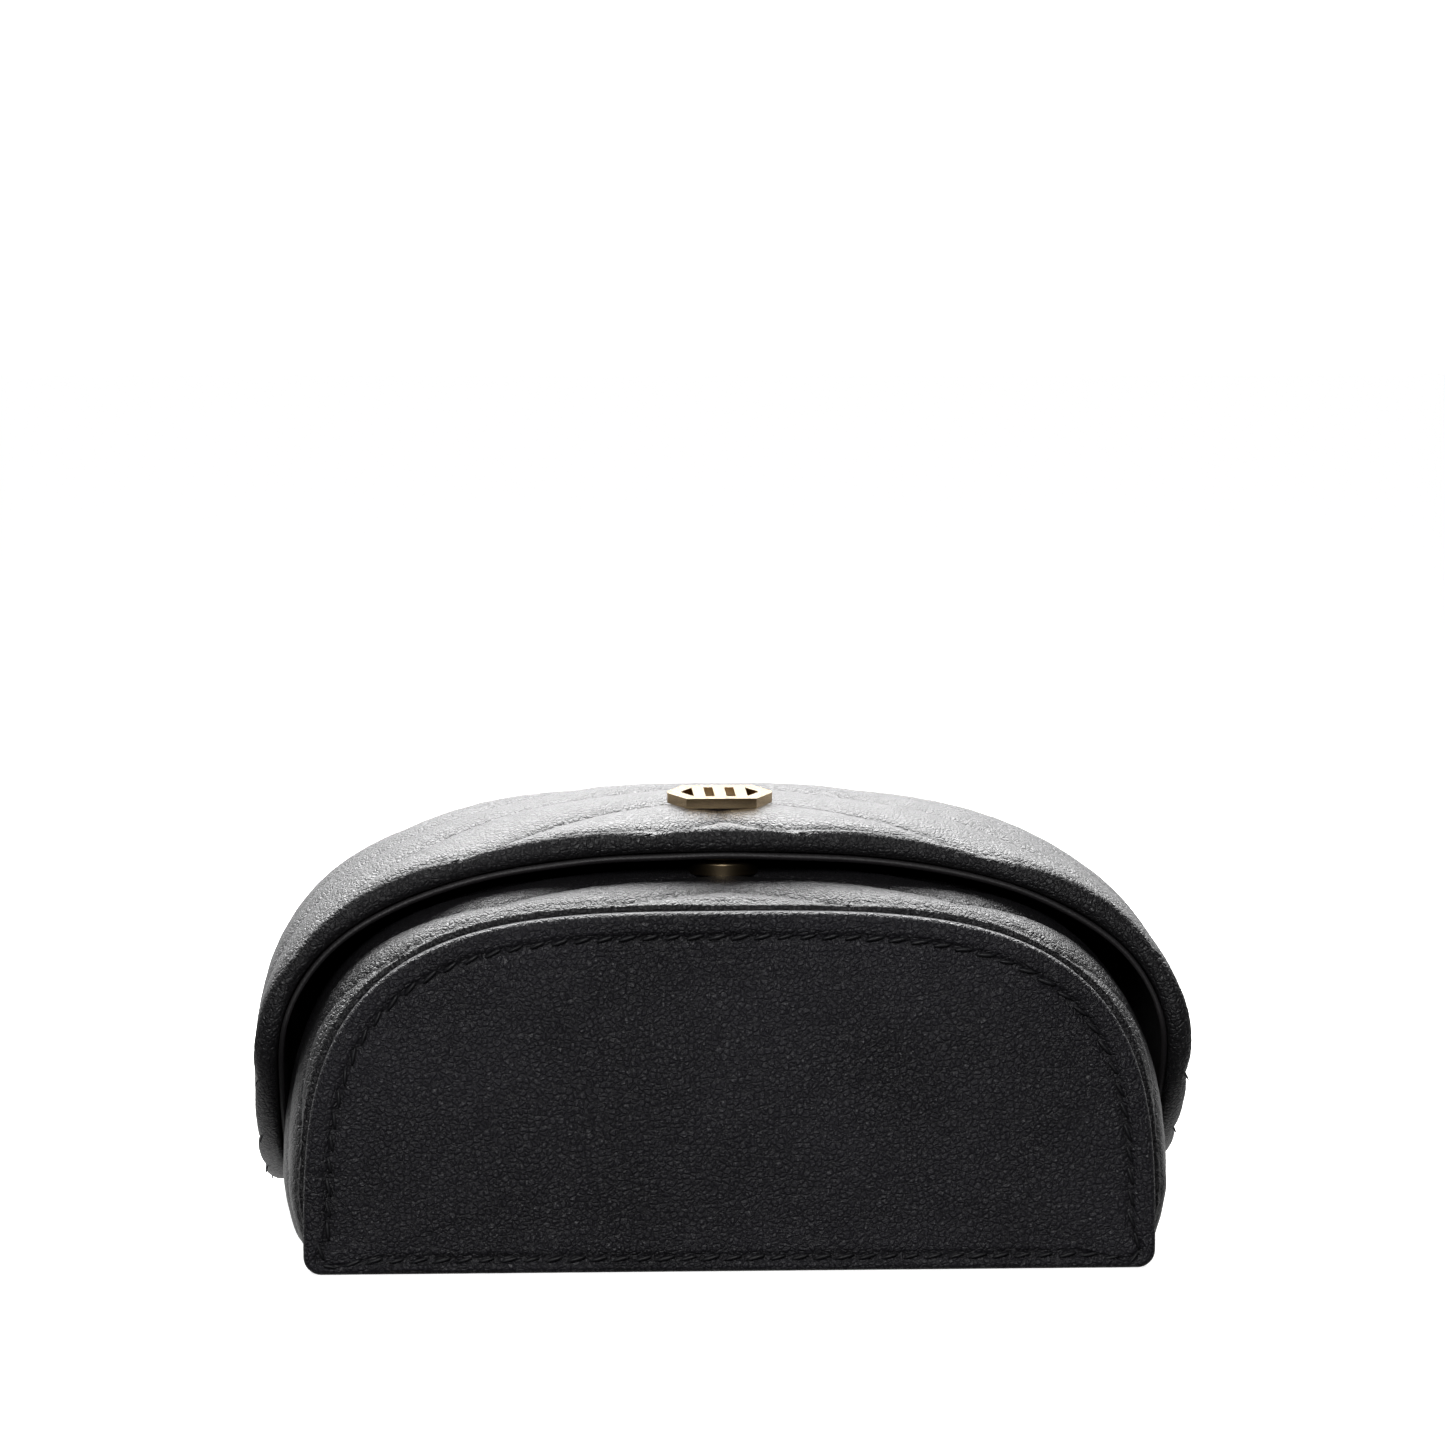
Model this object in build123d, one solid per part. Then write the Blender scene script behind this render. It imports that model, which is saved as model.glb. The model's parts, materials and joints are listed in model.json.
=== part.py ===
"""Quilted leather jewellery case with a hinged hood lid, in millimetres.

The case lies on its flat back, as it does when it is put down: +Z is up from the back panel to the quilted front,
+Y runs from the base to the top of the case and X across it. The body is a tub of D section, flat at the back and
arched at the front. The lid is a domed hood over the top, front and sides of the tub, and it turns on a leather strip
along the top edge of the back. Walls are layered: leather, padding, board and lining.

Every solid is drawn with its base face at Y = 0, and moved at the end so that the origin is at the bottom centre.
"""

from build123d import *
import os
from math import atan, cos, degrees, radians, sin

# ---------------------------------------------------------------- driving dimensions
HEIGHT = 116.0  # base face to the outer face of the hinge strip, along Y

# layers of a wall, from outside to inside
LEATHER = 1.0
BODY_PADDING = 2.5
BODY_BOARD = 1.2
LINING = 0.6
LID_PADDING = 2.0
LID_BOARD = 0.8
GLUE = 0.05  # glue line between two layers

# base
BASE_HALF_WIDTH = 71.3
BASE_DEPTH = 60.5
BASE_POWER = 3.4  # squareness of the D: 2 is an ellipse
RIM_WIDTH = 4.0
RIM_THICK = 2.2
BASE_FACE_SINK = 0.5  # how far the base leather lies below its rim
BASE_BOARD = 1.5
FLOOR_PAD = 1.5

# body wall
MOUTH_TO_TOP = 32.0  # from the mouth to the hinged end of the case
WALL_OVER_RIM = 0.5  # how far the wall stands outside the rim where it starts
MOUTH_FLARE = 0.6  # how much wider the mouth is than the start of the wall, on each side
MOUTH_RISE = 2.0  # how much deeper it is
MOUTH_POWER = 3.0
SWELL = 2.4  # how far the wall bulges out between base and mouth
SWELL_SKEW = 0.6  # below 1 the bulge lies nearer the base
BINDING = 2.0  # height of the binding round the mouth

# back panel
BACK_LEATHER = 1.2
BACK_BOARD = 1.8
BACK_LINING = 0.8
BACK_CORNER = 24.0

# lid
LID_SIDE_ROOM = 0.35  # between the body's widest bulge and the lid's lining
LID_FRONT_ROOM = 5.35  # between its highest bulge and the crest of the lid's lining
LID_WIDEST_Z = 30.0  # height at which the lid is widest
LID_CREST_Y = 50.0  # where along the case the lid is highest
LID_POWER = 2.6
LID_TUCK = 110.0  # a larger value keeps the lower sides straighter
LID_DROP = 3.2  # how far the front dips from its crest to its edge
LID_EDGE_Y = 18.0  # the lid's front edge, from the base face
LID_CAP_SHARE = 0.66  # depth of the flat cap as a share of the crest
CREST_POWER = 3.2
SIDE_POWER = 4.5
LID_SEAT = 0.6  # gap between the lid's side edges and the back panel
ROLL_WIDTH = 2.6  # width of the rolled edge of the lid
ROLL_THICK = 3.0
PIPING = 0.8
PIPING_WIDTH = 1.6
LID_CLEARANCE = 0.4  # between lid and back panel at the hinge

# hinge strip
HINGE_LEATHER = 1.0
HINGE_HALF_WIDTH = 46.0
HINGE_FLANGE = 15.0
FOLD_GAP = 0.4  # from the fold line to each half of the strip

# magnetic snap
SNAP_Y = 26.4
SNAP_RADIUS = 6.0
SNAP_RECESS_RADIUS = 3.9
SNAP_STUD_RADIUS = 2.6
SNAP_RECESS = 1.0
SNAP_FLOOR = 0.2  # metal under the magnet
SNAP_BODY = 0.25  # height of the stud's body between its flange and its face
SNAP_STUD_IN = 0.8  # how far the stud enters the recess
SNAP_GAP = 0.35  # between the two halves when shut
SNAP_FLANGE = 0.8
SNAP_SEAT = 0.15  # between each half and the curved leather or lining it sits on
SNAP_POST_RADIUS = 1.4
WASHER_RADIUS = 4.0
WASHER_THICK = 0.5

# ornament
ORNAMENT_Y = 38.5
ORNAMENT_LENGTH = 14.0
ORNAMENT_WIDTH = 18.0
ORNAMENT_THICK = 1.7
ORNAMENT_BAR = 2.4
ORNAMENT_SLAT = 2.0  # width of each bar across the opening
ORNAMENT_BAR_PITCH = 3.6
ORNAMENT_RISE = 0.25  # above the leather
POST_RADIUS = 0.9
POST_SPACING = 7.0
POST_WASHER_RADIUS = 2.1

# inside
DIVIDER_THICK = 2.4
DIVIDER_X = 2.0
DIVIDER_BELOW_MOUTH = 18.0
BED_TOP_Y = 40.0
ROLL_COUNT = 4
ROLL_SIDE_ROOM = 9.35  # between the last roll and the wall's lining
ROLL_GAP = 0.4
FIT = 0.4  # between loose fittings and the lining
POCKET_HALF_WIDTH = 27.0
POCKET_X = -33.0
POCKET_THICK = 1.0
POCKET_BELOW_MOUTH = 26.0
MIRROR_HALF_WIDTH = 38.0
MIRROR_DEPTH = 26.0
MIRROR_Z = 24.0
MIRROR_THICK = 1.2
MIRROR_FRAME = 2.0
MIRROR_CORNER = 6.0

# ---------------------------------------------------------------- sizes that follow
MOUTH_Y = HEIGHT - MOUTH_TO_TOP
WALL_START_HALF_WIDTH = BASE_HALF_WIDTH + WALL_OVER_RIM
WALL_START_DEPTH = BASE_DEPTH + WALL_OVER_RIM
MOUTH_HALF_WIDTH = WALL_START_HALF_WIDTH + MOUTH_FLARE
MOUTH_DEPTH = WALL_START_DEPTH + MOUTH_RISE
BODY_LAYERS = LEATHER + BODY_PADDING + BODY_BOARD + LINING + 3 * GLUE
LID_LAYERS = LEATHER + LID_PADDING + LID_BOARD + LINING + 3 * GLUE
LID_HALF_WIDTH = MOUTH_HALF_WIDTH + SWELL + LID_LAYERS + LID_SIDE_ROOM
LID_CREST = MOUTH_DEPTH + SWELL + LID_LAYERS + LID_FRONT_ROOM
BACK_TOP = BACK_LEATHER + BACK_BOARD + BACK_LINING + 2 * GLUE
CAP_Y = HEIGHT - HINGE_LEATHER - GLUE
BACK_END_Y = CAP_Y - LID_LAYERS - LID_CLEARANCE
BOARD_Y = RIM_THICK + GLUE
FLOOR_Y = BOARD_Y + BASE_BOARD + GLUE
PAD_TOP_Y = FLOOR_Y + FLOOR_PAD
WALL_TOP_Y = MOUTH_Y - BINDING
SIDE_EDGE_Z = BACK_TOP + LID_SEAT
DIVIDER_TOP_Y = MOUTH_Y - DIVIDER_BELOW_MOUTH
POCKET_TOP_Y = MOUTH_Y - POCKET_BELOW_MOUTH
ROLL_START_X = DIVIDER_X + DIVIDER_THICK / 2 + ROLL_GAP
ROLL_END_X = MOUTH_HALF_WIDTH - BODY_LAYERS - ROLL_SIDE_ROOM
ROLL_RADIUS = (ROLL_END_X - ROLL_START_X - (ROLL_COUNT - 1) * ROLL_GAP) / (2 * ROLL_COUNT)
FAR = 2 * (HEIGHT + LID_HALF_WIDTH)


# ---------------------------------------------------------------- outlines
def section_face(points, y):
    """A face in the plane Y = y: a smooth arch through the points, closed by a straight line along Z = 0."""
    plane = Plane(origin=(0, y, 0), x_dir=(1, 0, 0), z_dir=(0, -1, 0))
    arch = Spline(*[plane.from_local_coords((x, z)) for x, z in points])
    return make_face([arch.edge(), Line(arch @ 1, arch @ 0).edge()])


def polar_radius(angle, half_width, depth, power):
    """Radius of a superellipse in the direction of the angle, in degrees."""
    across = abs(cos(radians(angle))) / half_width
    up = abs(sin(radians(angle))) / depth
    return (across**power + up**power) ** (-1 / power)


def arch_points(half_width, depth, power, steps=16, rise=0.0):
    """Points of a half superellipse that stands on the height rise, from +X to -X."""
    points = []
    for i in range(steps + 1):
        angle = 180 * i / steps
        r = polar_radius(angle, half_width, depth, power)
        points.append((r * cos(radians(angle)), rise + r * sin(radians(angle))))
    return points


def d_slab(half_width, depth, low_y, high_y, low_z=0.0, power=BASE_POWER):
    """A flat D shaped plate between two Y values, cut off below low_z."""
    face = section_face(arch_points(half_width, depth, power), low_y)
    plate = extrude(face, amount=high_y - low_y, dir=(0, 1, 0))
    return keep_above(plate, low_z) if low_z > 0 else plate


def keep_above(shape, low_z):
    """The part of a shape above a height."""
    return shape & Pos(0, 0, low_z + FAR / 2) * Box(2 * FAR, 2 * FAR, FAR)


def keep_between(shape, low_y, high_y):
    """The part of a shape between two Y values."""
    return shape & Pos(0, (low_y + high_y) / 2, 0) * Box(2 * FAR, high_y - low_y, 2 * FAR)


def z_cylinder(radius, x, y, low_z, high_z):
    """An upright cylinder between two heights."""
    return Pos(x, y, (low_z + high_z) / 2) * Cylinder(radius, high_z - low_z)


# ---------------------------------------------------------------- the body's tub
def mix(a, b, share):
    """The value a share of the way from a to b."""
    return a + share * (b - a)


def tub_size(y):
    """Half width, depth and squareness of the body's section at a distance from the base."""
    share = (y - RIM_THICK) / (MOUTH_Y - RIM_THICK)
    swell = SWELL * sin(radians(180 * share**SWELL_SKEW))
    half_width = mix(WALL_START_HALF_WIDTH, MOUTH_HALF_WIDTH, share) + swell
    depth = mix(WALL_START_DEPTH, MOUTH_DEPTH, share) + swell
    return half_width, depth, mix(BASE_POWER, MOUTH_POWER, share)


def tub(inset):
    """The body as one solid, every side but the back drawn in by inset."""
    sections = []
    for share in (0.0, 0.08, 0.2, 0.4, 0.7, 1.0):
        y = mix(RIM_THICK, MOUTH_Y, share)
        half_width, depth, power = tub_size(y)
        sections.append(section_face(arch_points(half_width - inset, depth - inset, power), y))
    return loft(sections)


def wall_layer(outer, inner, low_y, high_y, low_z):
    """A layer of the body's wall, between two insets."""
    return keep_above(keep_between(tub(outer) - tub(inner), low_y, high_y), low_z)


# ---------------------------------------------------------------- the lid's dome
def lid_along(y, inset):
    """How far a section lies from the lid's crest towards the point where its dome would close."""
    reach = (CAP_Y - LID_CREST_Y) / (1 - LID_CAP_SHARE**CREST_POWER) ** (1 / CREST_POWER)
    return max(0.0, (y - LID_CREST_Y) / (reach - inset))


def lid_height(y, inset):
    """Height of the lid on the centre line, drawn in by inset."""
    before = max(0.0, (LID_CREST_Y - y) / (LID_CREST_Y - LID_EDGE_Y))
    round_off = (1 - lid_along(y, inset) ** CREST_POWER) ** (1 / CREST_POWER)
    return (LID_CREST - inset) * round_off - LID_DROP * before**2


def lid_section(y, inset):
    """The lid's section at a distance from the base, drawn in by inset."""
    half_width = (LID_HALF_WIDTH - inset) * (1 - lid_along(y, inset) ** SIDE_POWER) ** (1 / SIDE_POWER)
    upper = arch_points(half_width, lid_height(y, inset) - LID_WIDEST_Z, LID_POWER, rise=LID_WIDEST_Z)
    lower = []
    for share in (0.0, 0.5):
        down = LID_WIDEST_Z * (1 - share)
        x = half_width * (1 - (down / LID_TUCK) ** LID_POWER) ** (1 / LID_POWER)
        lower.append((x, LID_WIDEST_Z - down))
    return section_face(lower + upper + [(-x, z) for x, z in reversed(lower)], y)


def dome(inset):
    """The lid as one solid, drawn in by inset."""
    end = CAP_Y - inset
    places = [mix(LID_EDGE_Y - 4, LID_CREST_Y, share) for share in (0.0, 0.46)]
    places += [mix(LID_CREST_Y, end, share) for share in (0.0, 0.25, 0.5, 0.72, 0.87, 0.95, 1.0)]
    return loft([lid_section(y, inset) for y in places])


def lid_region(width):
    """Everything on the lid's side of its edge, drawn in by width. Seen from the side, the edge runs straight down
    the front, sweeps back over the sides and follows the back panel to the top."""
    front, seat, top = LID_EDGE_Y + width, SIDE_EDGE_Z + width, LID_CREST + FAR
    knee = (front, LID_WIDEST_Z + 12)
    heel = (front + 56, seat)
    sweep = Spline((knee[0], knee[1]), (front + 17, seat + 14), heel, tangents=[(0, -1), (1, 0)])
    outline = [
        Line((front, top), knee).edge(),
        sweep.edge(),
        Line(heel, (FAR, seat)).edge(),
        Line((FAR, seat), (FAR, top)).edge(),
        Line((FAR, top), (front, top)).edge(),
    ]
    side = Plane(origin=(-FAR, 0, 0), x_dir=(0, 1, 0), z_dir=(1, 0, 0))
    return extrude(side * make_face(outline), amount=2 * FAR, dir=(1, 0, 0))


def lid_layer(outer, inner, width):
    """A layer of the lid, between two insets, its edge drawn in by width."""
    return (dome(outer) - dome(inner)) & lid_region(width)


# ---------------------------------------------------------------- base
def base_rim():
    """Rolled rim round the curved edge of the base."""
    outer = d_slab(BASE_HALF_WIDTH, BASE_DEPTH, 0, RIM_THICK)
    inner = d_slab(BASE_HALF_WIDTH - RIM_WIDTH, BASE_DEPTH - RIM_WIDTH, 0, RIM_THICK)
    return outer - inner


def base_leather():
    inset = RIM_WIDTH + GLUE
    return d_slab(BASE_HALF_WIDTH - inset, BASE_DEPTH - inset, BASE_FACE_SINK, RIM_THICK)


def base_board():
    inset = LEATHER + GLUE
    return d_slab(WALL_START_HALF_WIDTH - inset, WALL_START_DEPTH - inset, BOARD_Y, BOARD_Y + BASE_BOARD,
                  BACK_LEATHER + GLUE)


def floor_pad():
    inset = BODY_LAYERS + FIT
    return d_slab(WALL_START_HALF_WIDTH - inset, WALL_START_DEPTH - inset, FLOOR_Y, PAD_TOP_Y, BACK_TOP + GLUE)


# ---------------------------------------------------------------- back
def back_outline(half_width, low_y, high_y, corner):
    """A panel in the XY plane, its two upper corners rounded."""
    width, height = 2 * half_width, high_y - low_y
    plate = Pos(0, (low_y + high_y) / 2) * Rectangle(width, height)
    upper = [v for v in plate.vertices() if v.Y > (low_y + high_y) / 2]
    return fillet(upper, corner)


def back_leather():
    """Leather of the back, with a tongue that runs up to the fold of the hinge."""
    panel = back_outline(WALL_START_HALF_WIDTH, BOARD_Y, BACK_END_Y, BACK_CORNER)
    low, high = BACK_END_Y - BACK_CORNER, HEIGHT - FOLD_GAP
    tongue = Pos(0, (low + high) / 2) * Rectangle(2 * HINGE_HALF_WIDTH, high - low)
    return extrude(panel + tongue, amount=BACK_LEATHER, dir=(0, 0, 1))


def back_board():
    low = BACK_LEATHER + GLUE
    inset = LEATHER + GLUE
    panel = back_outline(WALL_START_HALF_WIDTH - inset, FLOOR_Y, BACK_END_Y - inset, BACK_CORNER - inset)
    return Pos(0, 0, low) * extrude(panel, amount=BACK_BOARD, dir=(0, 0, 1))


def back_lining():
    low = BACK_LEATHER + BACK_BOARD + 2 * GLUE
    inset = LEATHER + GLUE
    panel = back_outline(WALL_START_HALF_WIDTH - inset, FLOOR_Y, BACK_END_Y - inset, BACK_CORNER - inset)
    return Pos(0, 0, low) * extrude(panel, amount=BACK_LINING, dir=(0, 0, 1))


def hinge_strip():
    """The lid's half of the hinge strip, glued and sewn to the flat cap."""
    low = BACK_LEATHER + FOLD_GAP
    height = HINGE_FLANGE - low
    strip = Box(2 * HINGE_HALF_WIDTH, HINGE_LEATHER, height)
    placed = Pos(0, HEIGHT - HINGE_LEATHER / 2, low + height / 2) * strip
    upper = [e for e in placed.edges().filter_by(Axis.Y) if e.center().Z > HINGE_FLANGE / 2]
    return fillet(upper, 4)


# ---------------------------------------------------------------- snap
def socket_levels():
    """Height of the socket's seat on the wall and of the inner face of the wall's board behind it."""
    depth = tub_size(SNAP_Y)[1]
    return tub_size(SNAP_Y + SNAP_RADIUS)[1] + SNAP_SEAT, depth - LEATHER - BODY_PADDING - BODY_BOARD - 2 * GLUE


def lid_board_level(y):
    """Height of the outer face of the lid's board on the centre line, at the lowest point of a washer there."""
    return lid_height(y, LEATHER + LID_PADDING + 2 * GLUE)


def snap_parts():
    """Both halves of the magnetic snap, with their magnet and washers."""
    seat, board_in = socket_levels()
    flange_top = lid_height(SNAP_Y - SNAP_RADIUS, LID_LAYERS) - SNAP_SEAT
    face = flange_top - SNAP_FLANGE - SNAP_BODY
    rim = face - SNAP_GAP
    socket = z_cylinder(SNAP_RADIUS, 0, SNAP_Y, seat, rim)
    socket = fillet([e for e in socket.edges().filter_by(GeomType.CIRCLE) if e.center().Z > seat + 1], 0.5)
    magnet_top = rim - SNAP_RECESS
    socket -= z_cylinder(SNAP_RECESS_RADIUS, 0, SNAP_Y, seat + SNAP_FLOOR, rim + 1)
    post = z_cylinder(SNAP_POST_RADIUS, 0, SNAP_Y, board_in - WASHER_THICK, seat)
    magnet = z_cylinder(SNAP_RECESS_RADIUS - GLUE, 0, SNAP_Y, seat + SNAP_FLOOR + GLUE, magnet_top)
    washer_top = board_in
    washer = z_cylinder(WASHER_RADIUS, 0, SNAP_Y, washer_top - WASHER_THICK, washer_top)
    washer -= z_cylinder(SNAP_POST_RADIUS + GLUE, 0, SNAP_Y, washer_top - 2, washer_top + 2)

    stud = z_cylinder(SNAP_RADIUS, 0, SNAP_Y, flange_top - SNAP_FLANGE, flange_top)
    stud += z_cylinder(SNAP_RADIUS - 1.5, 0, SNAP_Y, face, flange_top - SNAP_FLANGE)
    stud += z_cylinder(SNAP_STUD_RADIUS, 0, SNAP_Y, face - SNAP_GAP - SNAP_STUD_IN, face)
    low = lid_board_level(SNAP_Y)
    stud += z_cylinder(SNAP_POST_RADIUS, 0, SNAP_Y, flange_top, low + WASHER_THICK)
    stud_washer = z_cylinder(WASHER_RADIUS, 0, SNAP_Y, low, low + WASHER_THICK)
    stud_washer -= z_cylinder(SNAP_POST_RADIUS + GLUE, 0, SNAP_Y, low - 2, low + 2)
    return {
        "snap_socket": socket + post,
        "snap_magnet": magnet,
        "snap_socket_washer": washer,
        "snap_stud": stud,
        "snap_stud_washer": stud_washer,
    }


def snap_hole():
    """The hole for a snap post through every layer."""
    return z_cylinder(SNAP_POST_RADIUS + GLUE, 0, SNAP_Y, BASE_DEPTH - 12, LID_CREST - LEATHER - GLUE)


def washer_room(low_z, high_z, radius, x, y):
    """The hollow that a washer presses into its layer."""
    return z_cylinder(radius + GLUE, x, y, low_z - GLUE, high_z + GLUE)


# ---------------------------------------------------------------- ornament
def ornament():
    """Plain slotted six-sided plaque: a frame with straight parallel bars across its opening."""
    half_l, half_w, nose = ORNAMENT_LENGTH / 2, ORNAMENT_WIDTH / 2, ORNAMENT_WIDTH / 3
    corners = [(nose, half_l), (half_w, half_l - nose), (half_w, nose - half_l),
               (nose, -half_l), (-nose, -half_l), (-half_w, nose - half_l), (-half_w, half_l - nose), (-nose, half_l)]
    outer = make_face(Polyline(*corners, close=True).edges())
    frame = outer - offset(outer, -ORNAMENT_BAR)
    bars = Sketch()
    for side in (-1, 0, 1):
        bars += Pos(side * ORNAMENT_BAR_PITCH, 0) * Rectangle(ORNAMENT_SLAT, ORNAMENT_LENGTH)
    plaque = extrude(frame + (bars & outer), amount=ORNAMENT_THICK)
    return Pos(0, ORNAMENT_Y, plaque_level(ORNAMENT_Y)) * Rot(degrees(atan(lid_slope(ORNAMENT_Y))), 0, 0) * plaque


def lid_slope(y):
    """Slope of the lid's centre line."""
    return (lid_height(y + 0.5, 0) - lid_height(y - 0.5, 0)) / 1.0


def plaque_level(y):
    """Height of the plaque's underside, which is tangent to the lid's centre line a little above it."""
    return lid_height(ORNAMENT_Y, 0) + ORNAMENT_RISE + (y - ORNAMENT_Y) * lid_slope(ORNAMENT_Y)


def post_places():
    return [(0, ORNAMENT_Y - POST_SPACING / 2), (0, ORNAMENT_Y + POST_SPACING / 2)]


def ornament_posts():
    """Two posts under the plaque, through the leather and padding to their washers on the board."""
    return [z_cylinder(POST_RADIUS, x, y, lid_board_level(y), plaque_level(y - POST_RADIUS)) for x, y in post_places()]


def ornament_washers():
    washers = []
    for x, y in post_places():
        low = lid_board_level(y)
        washer = z_cylinder(POST_WASHER_RADIUS, x, y, low, low + WASHER_THICK)
        washers.append(washer - z_cylinder(POST_RADIUS + GLUE, x, y, low - 1, low + 1))
    return washers


# ---------------------------------------------------------------- inside
def well(inset):
    """The space inside the lining, drawn in by inset."""
    return keep_above(tub(BODY_LAYERS + inset), BACK_TOP + GLUE)


def divider():
    """Padded board across the well, from the back lining to the wall lining."""
    height = DIVIDER_TOP_Y - PAD_TOP_Y - GLUE
    plate = Pos(DIVIDER_X, PAD_TOP_Y + GLUE + height / 2, BASE_DEPTH / 2) * Box(DIVIDER_THICK, height, FAR / 2)
    return plate & well(FIT)


def ring_bed():
    """Covered foam block that carries the ring rolls."""
    low_x = DIVIDER_X + DIVIDER_THICK / 2 + GLUE
    width = BASE_HALF_WIDTH
    height = BED_TOP_Y - PAD_TOP_Y - GLUE
    block = Pos(low_x + width / 2, PAD_TOP_Y + GLUE + height / 2, BASE_DEPTH / 2) * Box(width, height, FAR / 2)
    return block & well(FIT)


def ring_rolls():
    """Stuffed rolls side by side on the bed, each reaching from the back lining to the wall lining."""
    first = ROLL_START_X + ROLL_RADIUS
    y = BED_TOP_Y + ROLL_RADIUS + GLUE
    low_z = BACK_TOP + 2 * FIT
    rolls = []
    for i in range(ROLL_COUNT):
        x = first + i * (2 * ROLL_RADIUS + ROLL_GAP)
        far_x = x + ROLL_RADIUS
        reach = (MOUTH_DEPTH - BODY_LAYERS - 2) * (1 - (far_x / (MOUTH_HALF_WIDTH - BODY_LAYERS + 1)) ** 3) ** (1 / 3)
        roll = z_cylinder(ROLL_RADIUS, x, y, low_z, reach)
        rolls.append(fillet(roll.edges().filter_by(GeomType.CIRCLE), 1.6))
    return rolls


def slip_pocket():
    """Flat pocket panel on the back lining."""
    low = BACK_TOP + 2 * GLUE
    panel = back_outline(POCKET_HALF_WIDTH, PAD_TOP_Y + FIT, POCKET_TOP_Y, 3)
    return Pos(POCKET_X, 0, low) * extrude(panel, amount=POCKET_THICK, dir=(0, 0, 1))


def mirror_face(half_width, depth, corner):
    return RectangleRounded(2 * half_width, depth, corner)


def on_cap(sketch, thickness, depth_in):
    """A sketch set on the inner face of the cap and thickened towards the base."""
    plane = Plane(origin=(0, CAP_Y - LID_LAYERS - depth_in, MIRROR_Z), x_dir=(1, 0, 0), z_dir=(0, -1, 0))
    return extrude(plane * sketch, amount=thickness, dir=(0, -1, 0))


def mirror_glass():
    return on_cap(mirror_face(MIRROR_HALF_WIDTH, MIRROR_DEPTH, MIRROR_CORNER), MIRROR_THICK, 2 * GLUE)


def mirror_frame():
    outer = mirror_face(MIRROR_HALF_WIDTH + MIRROR_FRAME, MIRROR_DEPTH + 2 * MIRROR_FRAME, MIRROR_CORNER)
    inner = mirror_face(MIRROR_HALF_WIDTH + GLUE, MIRROR_DEPTH + 2 * GLUE, MIRROR_CORNER)
    return on_cap(outer - inner, MIRROR_THICK + 0.4, 2 * GLUE)


# ---------------------------------------------------------------- assembly
def body_walls():
    """Layers of the body's wall, from outside to inside."""
    layers, depth = {}, 0.0
    for name, thick, low_y, low_z in (
        ("wall_leather", LEATHER, BOARD_Y, BACK_LEATHER + GLUE),
        ("wall_padding", BODY_PADDING, FLOOR_Y, BACK_TOP + GLUE),
        ("wall_board", BODY_BOARD, FLOOR_Y, BACK_TOP + GLUE),
        ("wall_lining", LINING, FLOOR_Y, BACK_TOP + GLUE),
    ):
        layers[name] = wall_layer(depth, depth + thick, low_y, WALL_TOP_Y, low_z)
        depth += thick + GLUE
    return layers


def lid_walls():
    """Layers of the lid, from outside to inside. Leather and board are two pieces each, the wall and the flat cap."""
    layers, depth = {}, 0.0
    for name, thick in (
        ("lid_leather", LEATHER),
        ("lid_padding", LID_PADDING),
        ("lid_board", LID_BOARD),
        ("lid_lining", LINING),
    ):
        edge = 0 if name == "lid_lining" else ROLL_WIDTH + GLUE
        layers[name] = lid_layer(depth, depth + thick, edge)
        depth += thick + GLUE
    seam_y = CAP_Y - LEATHER
    layers["lid_leather"], layers["lid_cap_leather"] = split_cap(layers["lid_leather"], seam_y)
    board_seam_y = seam_y - LID_PADDING - LID_BOARD - 2 * GLUE
    layers["lid_board"], layers["lid_cap_board"] = split_cap(layers["lid_board"], board_seam_y)
    layers["lid_edge_roll"] = (dome(0) - dome(ROLL_THICK)) & (lid_region(0) - lid_region(ROLL_WIDTH))
    layers["lid_cap_piping"] = keep_above(
        keep_between(dome(-PIPING) - dome(-GLUE), seam_y - PIPING_WIDTH, seam_y), SIDE_EDGE_Z + HINGE_FLANGE)
    return layers


def split_cap(layer, seam_y):
    """The wall and the flat cap of a layer of the lid."""
    return keep_between(layer, 0, seam_y - GLUE), keep_between(layer, seam_y, HEIGHT)


def assemble():
    nodes = {
        "base_rim": base_rim(),
        "base_leather": base_leather(),
        "base_board": base_board(),
        "floor_pad": floor_pad(),
        "back_leather": back_leather(),
        "back_board": back_board(),
        "back_lining": back_lining(),
        "hinge_strip": hinge_strip(),
        "divider": divider(),
        "ring_bed": ring_bed(),
        "slip_pocket": slip_pocket(),
        "mirror_glass": mirror_glass(),
        "mirror_frame": mirror_frame(),
        "ornament": ornament(),
        "ornament_posts": ornament_posts(),
        "ornament_washers": ornament_washers(),
    }
    nodes.update(body_walls())
    nodes["mouth_binding"] = wall_layer(0, BODY_LAYERS, WALL_TOP_Y + GLUE, MOUTH_Y, BACK_TOP + GLUE)
    nodes.update(lid_walls())
    nodes.update(snap_parts())
    for i, roll in enumerate(ring_rolls(), start=1):
        nodes[f"ring_roll_{i}"] = roll
    cut_fastener_holes(nodes)
    return nodes


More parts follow.
